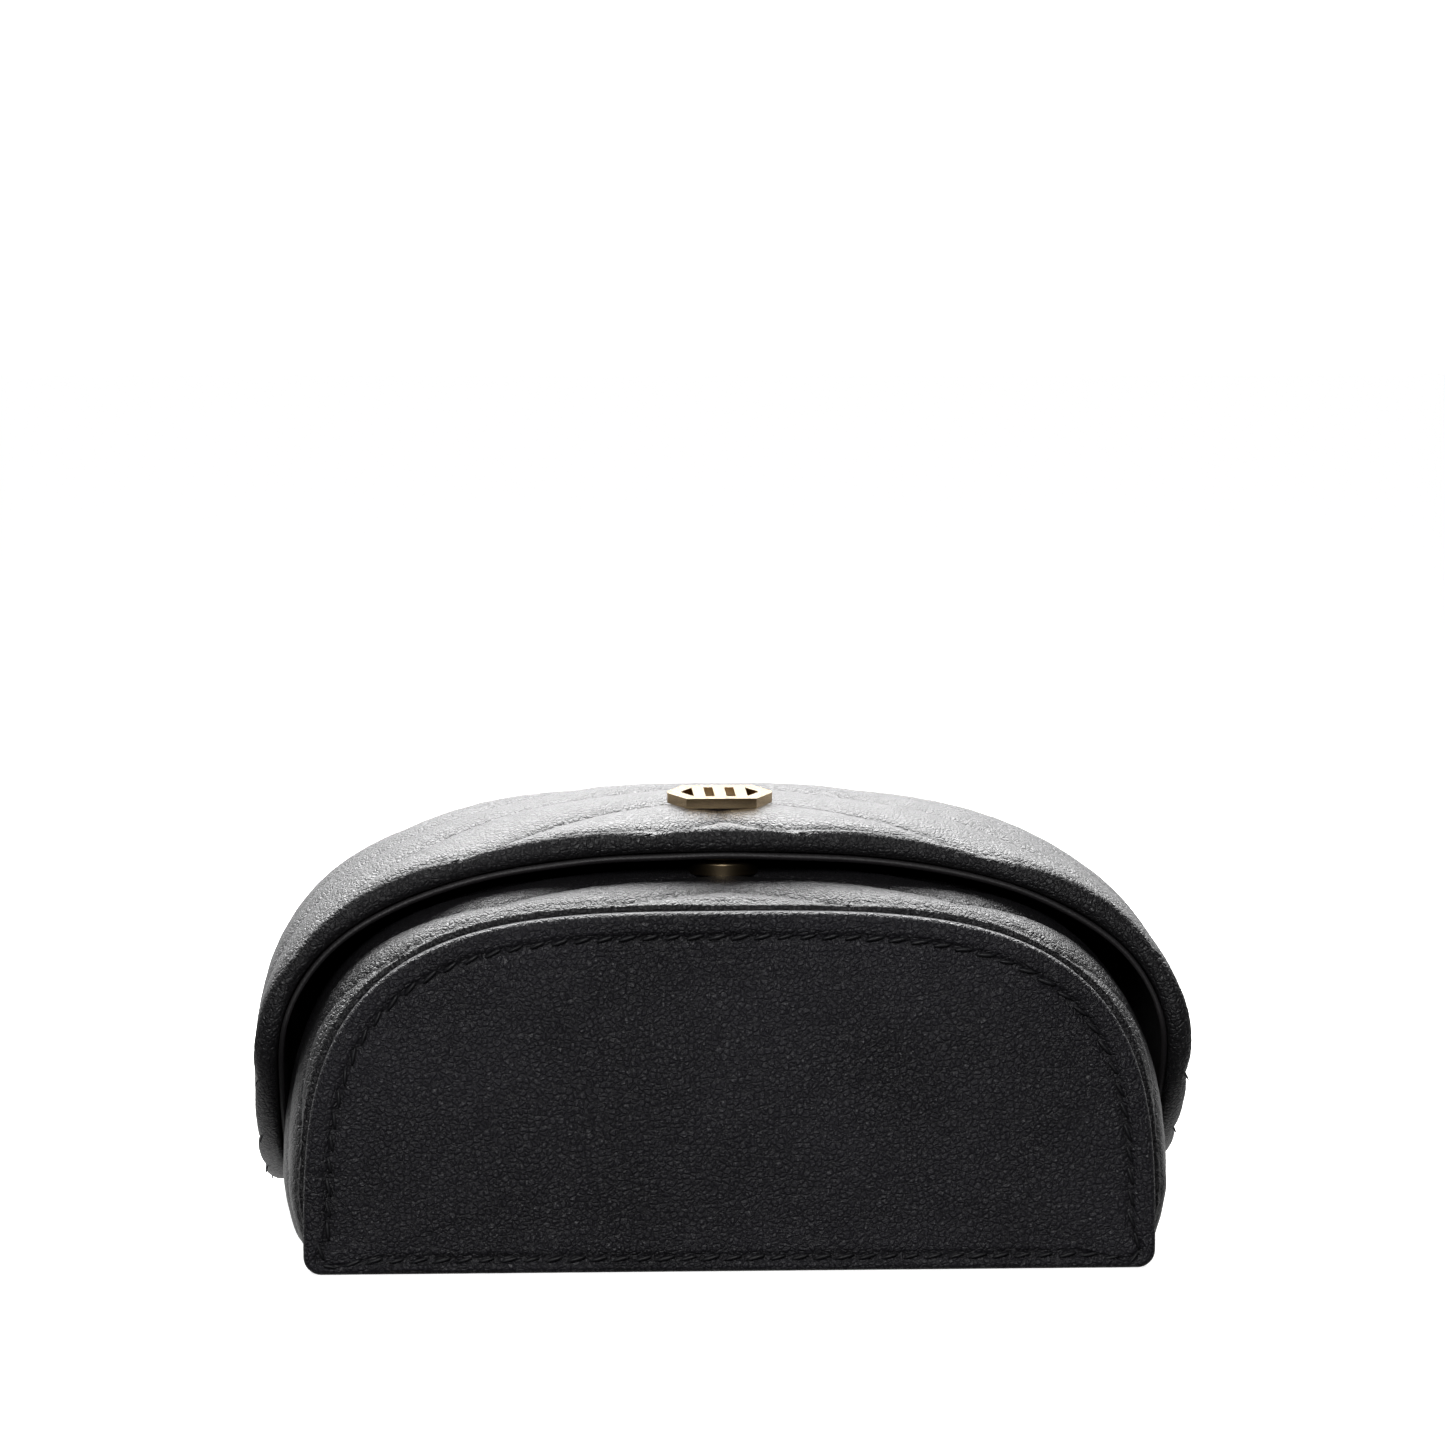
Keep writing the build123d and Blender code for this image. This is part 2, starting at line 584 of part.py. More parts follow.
def cut_fastener_holes(nodes):
    """Holes and hollows in the layers for the posts and washers of the snap and the ornament."""
    for name in ("wall_leather", "wall_padding", "wall_board", "wall_lining", "lid_lining", "lid_board", "lid_padding"):
        nodes[name] -= snap_hole()
    board_in = socket_levels()[1]
    room = washer_room(board_in - WASHER_THICK, board_in, WASHER_RADIUS, 0, SNAP_Y)
    for name in ("wall_board", "wall_lining"):
        nodes[name] -= room
    places = [(WASHER_RADIUS, 0, SNAP_Y)] + [(POST_WASHER_RADIUS, x, y) for x, y in post_places()]
    for radius, x, y in places:
        low = lid_board_level(y)
        for name in ("lid_padding", "lid_board"):
            nodes[name] -= washer_room(low, low + WASHER_THICK, radius, x, y)
    for x, y in post_places():
        hole = z_cylinder(POST_RADIUS + GLUE, x, y, lid_board_level(y) - GLUE, LID_CREST + 1)
        for name in ("lid_leather", "lid_padding"):
            nodes[name] -= hole


def solids_of(shape):
    """Every solid of a node, which may be one shape or a list."""
    shapes = shape if isinstance(shape, list) else [shape]
    return [solid for one in shapes for solid in one.solids()]


def main():
    os.makedirs("parts", exist_ok=True)
    for name, shape in assemble().items():
        placed = [Pos(0, -HEIGHT / 2, 0) * solid for solid in solids_of(shape)]
        node = placed[0] if len(placed) == 1 else Compound(children=placed)
        export_step(node, f"parts/{name}.step")


main()
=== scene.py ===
"""Looks of a quilted black leather jewellery case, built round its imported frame.

The case lies on its flat back. Sizes in this script are millimetres, in the part's frame, and become metres
when a mesh is made. A place on a curved leather surface is given by an arc share, from -1 at one lower edge over
the front to 1 at the other, and by its distance from the base along the case.
"""

import json
import logging
import math
from dataclasses import dataclass, field
from enum import Enum
from typing import Any, Callable, Sequence

import bmesh
import bpy
import numpy as np
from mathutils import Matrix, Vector

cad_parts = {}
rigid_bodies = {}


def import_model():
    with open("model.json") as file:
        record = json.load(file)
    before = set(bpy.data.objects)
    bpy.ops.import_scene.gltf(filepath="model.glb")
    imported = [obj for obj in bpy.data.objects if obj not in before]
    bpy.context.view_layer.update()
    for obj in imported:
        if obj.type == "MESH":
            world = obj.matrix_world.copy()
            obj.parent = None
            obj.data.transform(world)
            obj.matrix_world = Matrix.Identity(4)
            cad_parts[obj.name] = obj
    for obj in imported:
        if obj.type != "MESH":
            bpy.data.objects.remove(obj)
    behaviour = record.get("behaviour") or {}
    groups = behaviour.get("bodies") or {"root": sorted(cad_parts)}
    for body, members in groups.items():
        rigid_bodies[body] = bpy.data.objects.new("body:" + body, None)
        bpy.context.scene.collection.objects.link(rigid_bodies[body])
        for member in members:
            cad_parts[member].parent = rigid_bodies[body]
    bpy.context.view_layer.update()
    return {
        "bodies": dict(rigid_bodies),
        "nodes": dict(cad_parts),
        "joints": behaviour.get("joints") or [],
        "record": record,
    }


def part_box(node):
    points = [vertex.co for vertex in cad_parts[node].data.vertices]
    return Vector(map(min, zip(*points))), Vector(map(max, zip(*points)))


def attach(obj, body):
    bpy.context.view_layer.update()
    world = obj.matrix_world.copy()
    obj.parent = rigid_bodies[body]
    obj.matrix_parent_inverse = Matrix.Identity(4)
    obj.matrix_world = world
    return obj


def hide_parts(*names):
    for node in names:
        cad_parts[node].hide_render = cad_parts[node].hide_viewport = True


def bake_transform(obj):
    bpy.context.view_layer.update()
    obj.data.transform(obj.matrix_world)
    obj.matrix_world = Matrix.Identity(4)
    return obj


LOG = logging.getLogger("case")
MM = 0.001
Array = np.ndarray
Colour = tuple[float, float, float]

# How the columns of a skin are spread: evenly, and drawn towards its ends.
EVEN_SHARE = 0.62
CROWDED_SHARE = 0.38
# How full a puff's sides are, and how the leather rises on the two sides of its hem's seam.
PUFF_POWER = 2.2
HEM_POWER = 2.4
HEM_RISE_MM = 3.4
ROLL_POWER = 0.6
ROLL_RISE_MM = 1.6
# How quickly the painted sheen of the puffs' crests gives way to the painted shade of the seams.
CREST_POWER = 1.5
# Thickness of the softened edge on small metal pieces.
EDGE_BEVEL_MM = 0.28


class Body(Enum):
    """The two rigid bodies of the case."""

    CASE = "case"
    LID = "lid"


# ---------------------------------------------------------------- shader maths
class Signal:
    """A shader socket that takes part in Python arithmetic."""

    def __init__(self, nodes: "Nodes", socket: bpy.types.NodeSocket) -> None:
        """Wraps a socket of a tree."""
        self.nodes = nodes
        self.socket = socket

    def _math(self, operation: str, *values: Any) -> "Signal":
        """Adds one Math node to the tree."""
        return self.nodes.add("ShaderNodeMath", {"operation": operation}, *values)

    def __add__(self, other: Any) -> "Signal":
        """Sum."""
        return self._math("ADD", self, other)

    __radd__ = __add__

    def __mul__(self, other: Any) -> "Signal":
        """Product."""
        return self._math("MULTIPLY", self, other)

    __rmul__ = __mul__

    def __sub__(self, other: Any) -> "Signal":
        """Difference."""
        return self._math("SUBTRACT", self, other)

    def __rsub__(self, other: Any) -> "Signal":
        """Difference from a number."""
        return self._math("SUBTRACT", other, self)

    def step(self, low: float, high: float) -> "Signal":
        """Rises smoothly from 0 at low to 1 at high."""
        return self.nodes.add("ShaderNodeMapRange", {"interpolation_type": "SMOOTHSTEP"}, self, low, high)


class Nodes:
    """Builds one material's node tree."""

    def __init__(self, name: str) -> None:
        """Makes an empty material with a Principled surface.

        Args:
            name: the material's name.
        """
        self.material = bpy.data.materials.new(name)
        self.material.use_nodes = True
        self.tree = self.material.node_tree
        self.tree.nodes.clear()
        self.surface = self.tree.nodes.new("ShaderNodeBsdfPrincipled")
        out = self.tree.nodes.new("ShaderNodeOutputMaterial")
        self.tree.links.new(self.surface.outputs[0], out.inputs[0])

    def feed(self, socket: bpy.types.NodeSocket, value: Any) -> None:
        """Links a signal to a socket, or sets the socket to a plain value."""
        if isinstance(value, Signal):
            self.tree.links.new(value.socket, socket)
        else:
            socket.default_value = value

    def add(self, kind: str, settings: dict[str, Any] | None = None, *values: Any, out: int | str = 0,
            **named: Any) -> Signal:
        """Adds a node.

        Args:
            kind: the node's type.
            settings: properties set before its sockets are used.
            values: what goes into its sockets, in order.
            out: the output to return.
            named: what goes into sockets by name, with underscores for spaces.

        Returns:
            The chosen output.
        """
        node = self.tree.nodes.new(kind)
        for key, value in (settings or {}).items():
            setattr(node, key, value)
        for socket, value in zip(node.inputs, values):
            self.feed(socket, value)
        for key, value in named.items():
            self.feed(node.inputs[key.replace("_", " ")], value)
        return Signal(self, node.outputs[out])

    def mix(self, share: Any, a: Any, b: Any) -> Signal:
        """Mixes two colours."""
        node = self.tree.nodes.new("ShaderNodeMix")
        node.data_type = "RGBA"
        for index, value in ((0, share), (6, a), (7, b)):
            self.feed(node.inputs[index], (*value, 1.0) if isinstance(value, tuple) else value)
        return Signal(self, node.outputs[2])

    def place(self) -> Signal:
        """Place on the piece, in metres."""
        return self.add("ShaderNodeTexCoord", out="Object")

    def noise(self, vector: Signal, scale: float, detail: float = 2.0, out: int = 0) -> Signal:
        """Fractal noise."""
        return self.add("ShaderNodeTexNoise", None, Vector=vector, Scale=scale, Detail=detail, out=out)

    def cells(self, vector: Signal, size_mm: float, feature: str = "DISTANCE_TO_EDGE") -> Signal:
        """Voronoi cells of a size."""
        return self.add("ShaderNodeTexVoronoi", {"feature": feature}, Vector=vector, Scale=1000 / size_mm)

    def shift(self, vector: Signal, by: Signal, amount_mm: float) -> Signal:
        """Moves a place by a noise colour."""
        scaled = self.add("ShaderNodeVectorMath", {"operation": "SCALE"}, by, Scale=amount_mm * MM)
        return self.add("ShaderNodeVectorMath", {"operation": "ADD"}, vector, scaled)

    def finish(self, bump: Signal | None = None, depth_mm: float = 0.1, strength: float = 1.0,
               **sockets: Any) -> bpy.types.Material:
        """Feeds the surface's sockets.

        Args:
            bump: a height from 0 to 1.
            depth_mm: what a height of 1 stands for.
            strength: how much of the bump is seen.
            sockets: values or signals by socket name.

        Returns:
            The material.
        """
        if bump is not None:
            sockets["Normal"] = self.add("ShaderNodeBump", None, Height=bump, Distance=depth_mm * MM,
                                         Strength=strength)
        for name, value in sockets.items():
            socket = self.surface.inputs[name.replace("_", " ")]
            self.feed(socket, (*value, 1.0) if isinstance(value, tuple) else value)
        return self.material


# ---------------------------------------------------------------- finishes
@dataclass(frozen=True)
class Lambskin:
    """Soft grained leather: irregular cells, pores and a low sheen, with painted sheen greying the puffs' crests
    and painted shade darkening the seams and the grain's creases.
    """

    name: str
    deep: Colour = (0.0070, 0.0066, 0.0074)
    light: Colour = (0.0200, 0.0194, 0.0222)
    grain_mm: float = 0.95
    grain_depth_mm: float = 0.2
    rough: float = 0.44
    specular: float = 0.5

    def material(self) -> bpy.types.Material:
        """Builds the material."""
        n = Nodes(self.name)
        place = n.place()
        warp = n.noise(place, 700.0, 2.0, out=1)
        bent = n.shift(place, warp, 0.7)
        crease = n.cells(bent, self.grain_mm).step(0.0, 0.26)
        fine = n.cells(bent, self.grain_mm * 0.42).step(0.0, 0.3)
        pore = n.noise(place, 2600.0, 3.0)
        cloud = n.noise(place, 38.0, 3.0)
        crest = n.add("ShaderNodeAttribute", {"attribute_name": "crest"}, out="Fac")
        height = crease * 0.62 + fine * 0.24 + pore * 0.3
        # Painted light: crest lightens the puffs' crests as painted sheen and leaves the seams dark as painted
        # shade, and crease and fine darken the grain's creases as painted shade; cloud is the leather's own
        # uneven tone.
        tone = cloud.step(0.3, 0.72) * 0.3 + crest * 0.22 + crease * 0.38 + fine * 0.1
        rough = self.rough + 0.09 * cloud - 0.05 * crest - 0.04 * crease
        return n.finish(height, self.grain_depth_mm, 1.0, Base_Color=n.mix(tone, self.deep, self.light),
                        Roughness=rough, Specular_IOR_Level=self.specular)


@dataclass(frozen=True)
class Suede:
    """Matt microsuede with a short brushed nap."""

    name: str
    deep: Colour = (0.012, 0.010, 0.011)
    light: Colour = (0.030, 0.026, 0.028)

    def material(self) -> bpy.types.Material:
        """Builds the material."""
        n = Nodes(self.name)
        place = n.place()
        nap = n.noise(place, 5200.0, 3.0)
        brushed = n.noise(place, 90.0, 4.0)
        tone = brushed.step(0.32, 0.68) * 0.6 + nap * 0.4
        return n.finish(nap, 0.08, 0.8, Base_Color=n.mix(tone, self.deep, self.light), Roughness=0.9,
                        Sheen_Weight=0.35, Sheen_Roughness=0.35, Specular_IOR_Level=0.25)


@dataclass(frozen=True)
class Thread:
    """Twisted polyester thread."""

    name: str
    colour: Colour = (0.006, 0.006, 0.007)
    ply_mm: float = 0.16

    def material(self) -> bpy.types.Material:
        """Builds the material."""
        n = Nodes(self.name)
        place = n.place()
        ply = n.cells(place, self.ply_mm, "F1")
        lit = (self.colour[0] * 3.0, self.colour[1] * 3.0, self.colour[2] * 3.1)
        return n.finish(ply, 0.05, 0.7, Base_Color=n.mix(ply, self.colour, lit), Roughness=0.52)


@dataclass(frozen=True)
class GoldPlate:
    """Polished pale gold plate with hairlines and a little tarnish."""

    name: str
    colour: Colour = (0.78, 0.60, 0.36)
    tarnish: Colour = (0.46, 0.31, 0.16)
    rough: float = 0.17

    def material(self) -> bpy.types.Material:
        """Builds the material."""
        n = Nodes(self.name)
        place = n.place()
        cloud = n.noise(place, 240.0, 4.0)
        hair = n.noise(place, 3800.0, 1.0)
        tone = cloud.step(0.45, 0.8) * 0.5
        return n.finish(hair, 0.01, 0.3, Base_Color=n.mix(tone, self.colour, self.tarnish), Metallic=1.0,
                        Roughness=self.rough + 0.12 * cloud)


@dataclass(frozen=True)
class PlatedSteel:
    """Plain nickel-plated steel of magnets and washers."""

    name: str
    colour: Colour = (0.52, 0.52, 0.53)

    def material(self) -> bpy.types.Material:
        """Builds the material."""
        n = Nodes(self.name)
        cloud = n.noise(n.place(), 500.0, 4.0)
        return n.finish(cloud, 0.01, 0.4, Base_Color=n.mix(cloud, self.colour, (0.38, 0.38, 0.40)),
                        Metallic=1.0,
                        Roughness=0.28 + 0.15 * cloud)


@dataclass(frozen=True)
class SilveredGlass:
    """Mirror with the faintest haze."""

    name: str

    def material(self) -> bpy.types.Material:
        """Builds the material."""
        n = Nodes(self.name)
        haze = n.noise(n.place(), 60.0, 4.0)
        return n.finish(Base_Color=n.mix(haze, (0.90, 0.91, 0.91), (0.84, 0.85, 0.86)), Metallic=1.0,
                        Roughness=0.02 + 0.03 * haze)


@dataclass(frozen=True)
class FibreBoard:
    """Grey-brown board or pale wadding, hidden between the leather and the lining."""

    name: str
    dark: Colour = (0.30, 0.24, 0.18)
    pale: Colour = (0.52, 0.45, 0.36)
    fibre_mm: float = 0.8

    def material(self) -> bpy.types.Material:
        """Builds the material."""
        n = Nodes(self.name)
        fibre = n.noise(n.place(), 1000 / self.fibre_mm, 5.0)
        return n.finish(fibre, 0.1, 0.6, Base_Color=n.mix(fibre, self.dark, self.pale), Roughness=0.88)


class Finishes:
    """Every finish of the case, made once."""

    def __init__(self) -> None:
        """Builds the materials."""
        self.quilt = Lambskin("quilted_lambskin").material()
        self.base = Lambskin("base_lambskin", deep=(0.0040, 0.0038, 0.0048), light=(0.0290, 0.0275, 0.0350),
                             grain_depth_mm=0.24, rough=0.47, specular=0.5).material()
        self.edge = Lambskin("edge_lambskin", grain_mm=0.8, grain_depth_mm=0.06, rough=0.40).material()
        self.ply = Lambskin("lining_leather", deep=(0.012, 0.011, 0.012), light=(0.026, 0.023, 0.025),
                            grain_mm=0.7,
                            grain_depth_mm=0.03, rough=0.5).material()
        self.suede = Suede("microsuede").material()
        self.thread = Thread("black_thread", colour=(0.004, 0.004, 0.005)).material()
        self.gold = GoldPlate("pale_gold_plate", colour=(0.62, 0.46, 0.27),
                              tarnish=(0.30, 0.20, 0.10)).material()
        # Painted shade: the snap's gold is darkened so that it reads as shaded in the gap between the lid and
        # the wall.
        self.snap = GoldPlate("snap_gold_painted_shade", colour=(0.13, 0.10, 0.06), tarnish=(0.05, 0.04, 0.03),
                              rough=0.3).material()
        self.steel = PlatedSteel("plated_steel").material()
        self.glass = SilveredGlass("silvered_glass").material()
        self.board = FibreBoard("fibre_board").material()
        self.wadding = FibreBoard("wadding", dark=(0.62, 0.60, 0.56), pale=(0.85, 0.83, 0.79),
                                  fibre_mm=1.6).material()


# ---------------------------------------------------------------- sizes read from the frame
def box_mm(node: str) -> tuple[Array, Array]:
    """Lowest and highest corner of a node of the frame, in millimetres."""
    low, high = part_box(node)
    return np.array(low) / MM, np.array(high) / MM


@dataclass
class Sizes:
    """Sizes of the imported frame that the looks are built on, in millimetres."""

    base_y: float = 0.0
    rim_top: float = 0.0
    rim_half: float = 0.0
    rim_depth: float = 0.0
    mouth_y: float = 0.0
    lid_edge_y: float = 0.0
    cap_y: float = 0.0
    hinge_y: float = 0.0
    hinge_half: float = 0.0
    hinge_top: float = 0.0
    seat_z: float = 0.0
    back_half: float = 0.0

    @classmethod
    def from_frame(cls) -> "Sizes":
        """Reads the sizes off the frame's nodes."""
        rim_low, rim_high = box_mm("base_rim")
        _, binding_high = box_mm("mouth_binding")
        roll_low, _ = box_mm("lid_edge_roll")
        _, cap_high = box_mm("lid_cap_leather")
        _, strip_high = box_mm("hinge_strip")
        _, back_high = box_mm("back_leather")
        return cls(
            base_y=rim_low[1], rim_top=rim_high[1] - rim_low[1], rim_half=rim_high[0], rim_depth=rim_high[2],
            mouth_y=binding_high[1], lid_edge_y=roll_low[1], cap_y=cap_high[1], hinge_y=strip_high[1],
            hinge_half=strip_high[0], hinge_top=strip_high[2], seat_z=roll_low[2], back_half=back_high[0],
        )


# ---------------------------------------------------------------- curves and small maths
def superellipse(half_width: float, depth: float, power: float, steps: int) -> Array:
    """Quarter of a superellipse from its top (0, depth) to its side (half_width, 0), as rows of x and z."""
    angle = np.linspace(math.pi / 2, 0.0, steps)
    across, up = np.cos(angle) / half_width, np.sin(angle) / depth
    radius = (across**power + up**power) ** (-1 / power)
    return np.stack([radius * np.cos(angle), radius * np.sin(angle)], axis=1)


def spaced(line: Array, shares: Array) -> Array:
    """Points at shares of a polyline's length."""
    steps = np.linalg.norm(np.diff(line, axis=0), axis=1)
    along = np.concatenate([[0.0], np.cumsum(steps)])
    wanted = shares * along[-1]
    return np.stack([np.interp(wanted, along, line[:, k]) for k in range(line.shape[1])], axis=1)


def crowded(count: int) -> Array:
    """Arc shares from one end of a section to the other, closer together at its ends."""
    w = np.linspace(-1.0, 1.0, count)
    return EVEN_SHARE * w + CROWDED_SHARE * np.sin(w * math.pi / 2)


def length_of(line: Array) -> float:
    """Length of a polyline."""
    return float(np.linalg.norm(np.diff(line, axis=0), axis=1).sum())


def ease(x: Array | float, low: float, high: float) -> Array:
    """Smooth rise from 0 at low to 1 at high."""
    t = np.clip((np.asarray(x) - low) / (high - low), 0.0, 1.0)
    return t * t * (3 - 2 * t)


class Ripple:
    """Smooth seeded waviness in space, roughly from -1 to 1."""

    def __init__(self, wave_mm: float, seed: int, waves: int = 18) -> None:
        """Draws the waves."""
        rng = np.random.default_rng(seed)
        direction = rng.normal(size=(waves, 3))
        direction /= np.linalg.norm(direction, axis=1, keepdims=True)
        self.vectors = direction * (2 * math.pi / wave_mm) * rng.uniform(0.6, 1.5, size=(waves, 1))
        self.phases = rng.uniform(0, 2 * math.pi, size=waves)

    def __call__(self, points: Array) -> Array:
        """The waviness at each point."""
        total = np.zeros(points.shape[:-1])
        for vector, phase in zip(self.vectors, self.phases):
            total += np.sin(points @ vector + phase)
        return total / math.sqrt(2.0 * len(self.phases))


# ---------------------------------------------------------------- meshes
def make_object(name: str, vertices: Array, faces: Sequence[Sequence[int]] | Array,
                material: bpy.types.Material,
                crest: Array | None = None, smooth: bool = True) -> bpy.types.Object:
    """Makes a mesh object from millimetres.

    Args:
        name: the object's name.
        vertices: rows of x, y, z in millimetres.
        faces: vertex numbers of each face.
        material: its finish.
        crest: 0 in the seams to 1 on the puffs; the finish paints sheen on the puffs and shade in the seams with
            it.
        smooth: whether its faces are shaded smooth.

    Returns:
        The object.
    """
    mesh = bpy.data.meshes.new(name)
    faces = faces.tolist() if isinstance(faces, np.ndarray) else faces
    mesh.from_pydata((np.asarray(vertices) * MM).tolist(), [], faces)
    if crest is not None:
        layer = mesh.attributes.new("crest", "FLOAT", "POINT")
        layer.data.foreach_set("value", np.asarray(crest, dtype=np.float32).ravel())
    mesh.materials.append(material)
    mesh.polygons.foreach_set("use_smooth", [smooth] * len(mesh.polygons))
    mesh.update()
    obj = bpy.data.objects.new(name, mesh)
    bpy.context.scene.collection.objects.link(obj)
    return obj


def tidy_mesh(obj: bpy.types.Object, merge_mm: float = 0.0005) -> None:
    """Merges doubled vertices and turns the faces outwards."""
    work = bmesh.new()
    work.from_mesh(obj.data)
    bmesh.ops.remove_doubles(work, verts=work.verts, dist=merge_mm * MM)
    bmesh.ops.dissolve_degenerate(work, edges=work.edges, dist=merge_mm * MM * 0.1)
    bmesh.ops.recalc_face_normals(work, faces=work.faces)
    work.to_mesh(obj.data)
    work.free()
    obj.data.update()


def settle(obj: bpy.types.Object, body: Body, slot: str, *nodes: str) -> bpy.types.Object:
    """Rides a piece on its body and hides the nodes of the frame that it stands for."""
    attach(obj, body.value)
    if nodes:
        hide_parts(*nodes)
    LOG.info("%s: %d faces on %s", obj.name, len(obj.data.polygons), body.value)
    return obj


def grid_faces(index: Array, mask: Array | None = None, flip: bool = False) -> Array:
    """Quads between neighbouring entries of an index grid, only where mask is set."""
    quads = np.stack([index[:-1, :-1], index[1:, :-1], index[1:, 1:], index[:-1, 1:]], axis=-1)
    quads = quads if not flip else quads[..., ::-1]
    return quads[mask] if mask is not None else quads.reshape(-1, 4)


class Skin:
    """A smooth curved surface, as a table of points over arc share and distance along the case."""

    def __init__(self, ys: Array, shares: Array, points: Array, half_length: float) -> None:
        """Stores the table and works out the normals.

        Args:
            ys: distance along the case of each row.
            shares: arc share of each column.
            points: the table of points.
            half_length: arc length of the section from its middle to its end.
        """
        self.ys, self.shares, self.points, self.half_length = ys, shares, points, half_length
        along = np.gradient(points, axis=0)
        across = np.gradient(points, axis=1)
        normals = np.cross(across, along)
        normals /= np.linalg.norm(normals, axis=-1, keepdims=True)
        outward = points - np.array([0.0, 0.0, 25.0])
        outward[..., 1] = 0.0
        sign = np.sign((normals * outward).sum(axis=-1, keepdims=True).mean())
        self.normals = normals * sign

    def at(self, share: Array, y: Array, depth: Array | float = 0.0) -> Array:
        """Points at places of the surface, sunk by a depth along the inward normal."""
        share, y = np.broadcast_arrays(np.asarray(share, float), np.asarray(y, float))
        u = np.interp(share, self.shares, np.arange(len(self.shares)))
        v = np.interp(y, self.ys, np.arange(len(self.ys)))
        i = np.clip(u.astype(int), 0, len(self.shares) - 2)
        j = np.clip(v.astype(int), 0, len(self.ys) - 2)
        a, b = (u - i)[..., None], (v - j)[..., None]

        def blend(table: Array) -> Array:
            """Bilinear look-up."""
            low = table[j, i] * (1 - a) + table[j, i + 1] * a
            high = table[j + 1, i] * (1 - a) + table[j + 1, i + 1] * a
            return low * (1 - b) + high * b

        normal = blend(self.normals)
        normal /= np.linalg.norm(normal, axis=-1, keepdims=True)
        return blend(self.points) - normal * np.asarray(depth)[..., None]


def mirrored(half: Array) -> Array:
    """A section from its middle to its +X end, made whole from the -X end to the +X end."""
    left = half[::-1].copy()
    left[:, 0] *= -1
    return np.concatenate([left[:-1], half])


# ---------------------------------------------------------------- geometry nodes
class RowTree:
    """Helper that builds a Geometry Nodes tree with named inputs."""

    def __init__(self, name: str) -> None:
        """Makes the tree with its geometry sockets."""
        self.tree = bpy.data.node_groups.new(name, "GeometryNodeTree")
        self.ids: dict[str, str] = {}
        self.tree.interface.new_socket(name="Geometry", in_out="INPUT", socket_type="NodeSocketGeometry")
        self.tree.interface.new_socket(name="Geometry", in_out="OUTPUT", socket_type="NodeSocketGeometry")
        self.values: dict[str, Any] = {}

    def value(self, name: str, kind: str, amount: Any) -> None:
        """Adds a named input."""
        socket = self.tree.interface.new_socket(name=name, in_out="INPUT", socket_type=kind)
        self.ids[name] = socket.identifier
        self.values[name] = amount

    def start(self) -> bpy.types.Node:
        """The tree's input node, made after every input."""
        self.inputs = self.tree.nodes.new("NodeGroupInput")
        return self.inputs

    def node(self, kind: str, settings: dict[str, Any] | None = None, **links: Any) -> bpy.types.Node:
        """Adds a node, its properties first, then the values or links of its sockets by name."""
        made = self.tree.nodes.new(kind)
        for key, amount in (settings or {}).items():
            setattr(made, key, amount)
        for key, amount in links.items():
            socket = next(s for s in made.inputs if s.name == key.replace("_", " ") and s.enabled)
            if isinstance(amount, bpy.types.NodeSocket):
                self.tree.links.new(amount, socket)
            else:
                socket.default_value = amount
        return made

    def end(self, geometry: bpy.types.NodeSocket) -> None:
        """Closes the tree with smooth shading, realised instances and its material."""
        real = self.node("GeometryNodeRealizeInstances", None, Geometry=geometry)
        smooth = self.node("GeometryNodeSetShadeSmooth", None, Geometry=real.outputs[0])
        dressed = self.node("GeometryNodeSetMaterial", None, Geometry=smooth.outputs[0],
                            Material=self.inputs.outputs["Material"])
        out = self.tree.nodes.new("NodeGroupOutput")
        self.tree.links.new(dressed.outputs[0], out.inputs[0])

    def apply(self, name: str, lines: list[Array], normals: list[Array],
              closed: bool = False) -> bpy.types.Object:
        """Runs the tree on polylines and keeps the plain mesh.

        Args:
            name: the new object's name.
            lines: polylines in millimetres.
            normals: outward direction at each point of each polyline.
            closed: whether each polyline is a loop.

        Returns:
            The object.
        """
        mesh = bpy.data.meshes.new(name + "_line")
        edges: list[tuple[int, int]] = []
        start = 0
        for line in lines:
            edges += [(start + i, start + i + 1) for i in range(len(line) - 1)]
            if closed:
                edges.append((start + len(line) - 1, start))
            start += len(line)
        mesh.from_pydata((np.concatenate(lines) * MM).tolist(), edges, [])
        layer = mesh.attributes.new("outward", "FLOAT_VECTOR", "POINT")
        layer.data.foreach_set("vector", np.concatenate(normals).astype(np.float32).ravel())
        source = bpy.data.objects.new(name + "_line", mesh)
        bpy.context.scene.collection.objects.link(source)
        modifier = source.modifiers.new("row", "NODES")
        modifier.node_group = self.tree
        for key, amount in self.values.items():
            modifier[self.ids[key]] = amount
        bpy.context.view_layer.update()
        ready = source.evaluated_get(bpy.context.evaluated_depsgraph_get())
        result = bpy.data.meshes.new_from_object(ready)
        result.name = name
        source.modifiers.remove(modifier)
        bpy.data.objects.remove(source)
        obj = bpy.data.objects.new(name, result)
        bpy.context.scene.collection.objects.link(obj)
        return obj


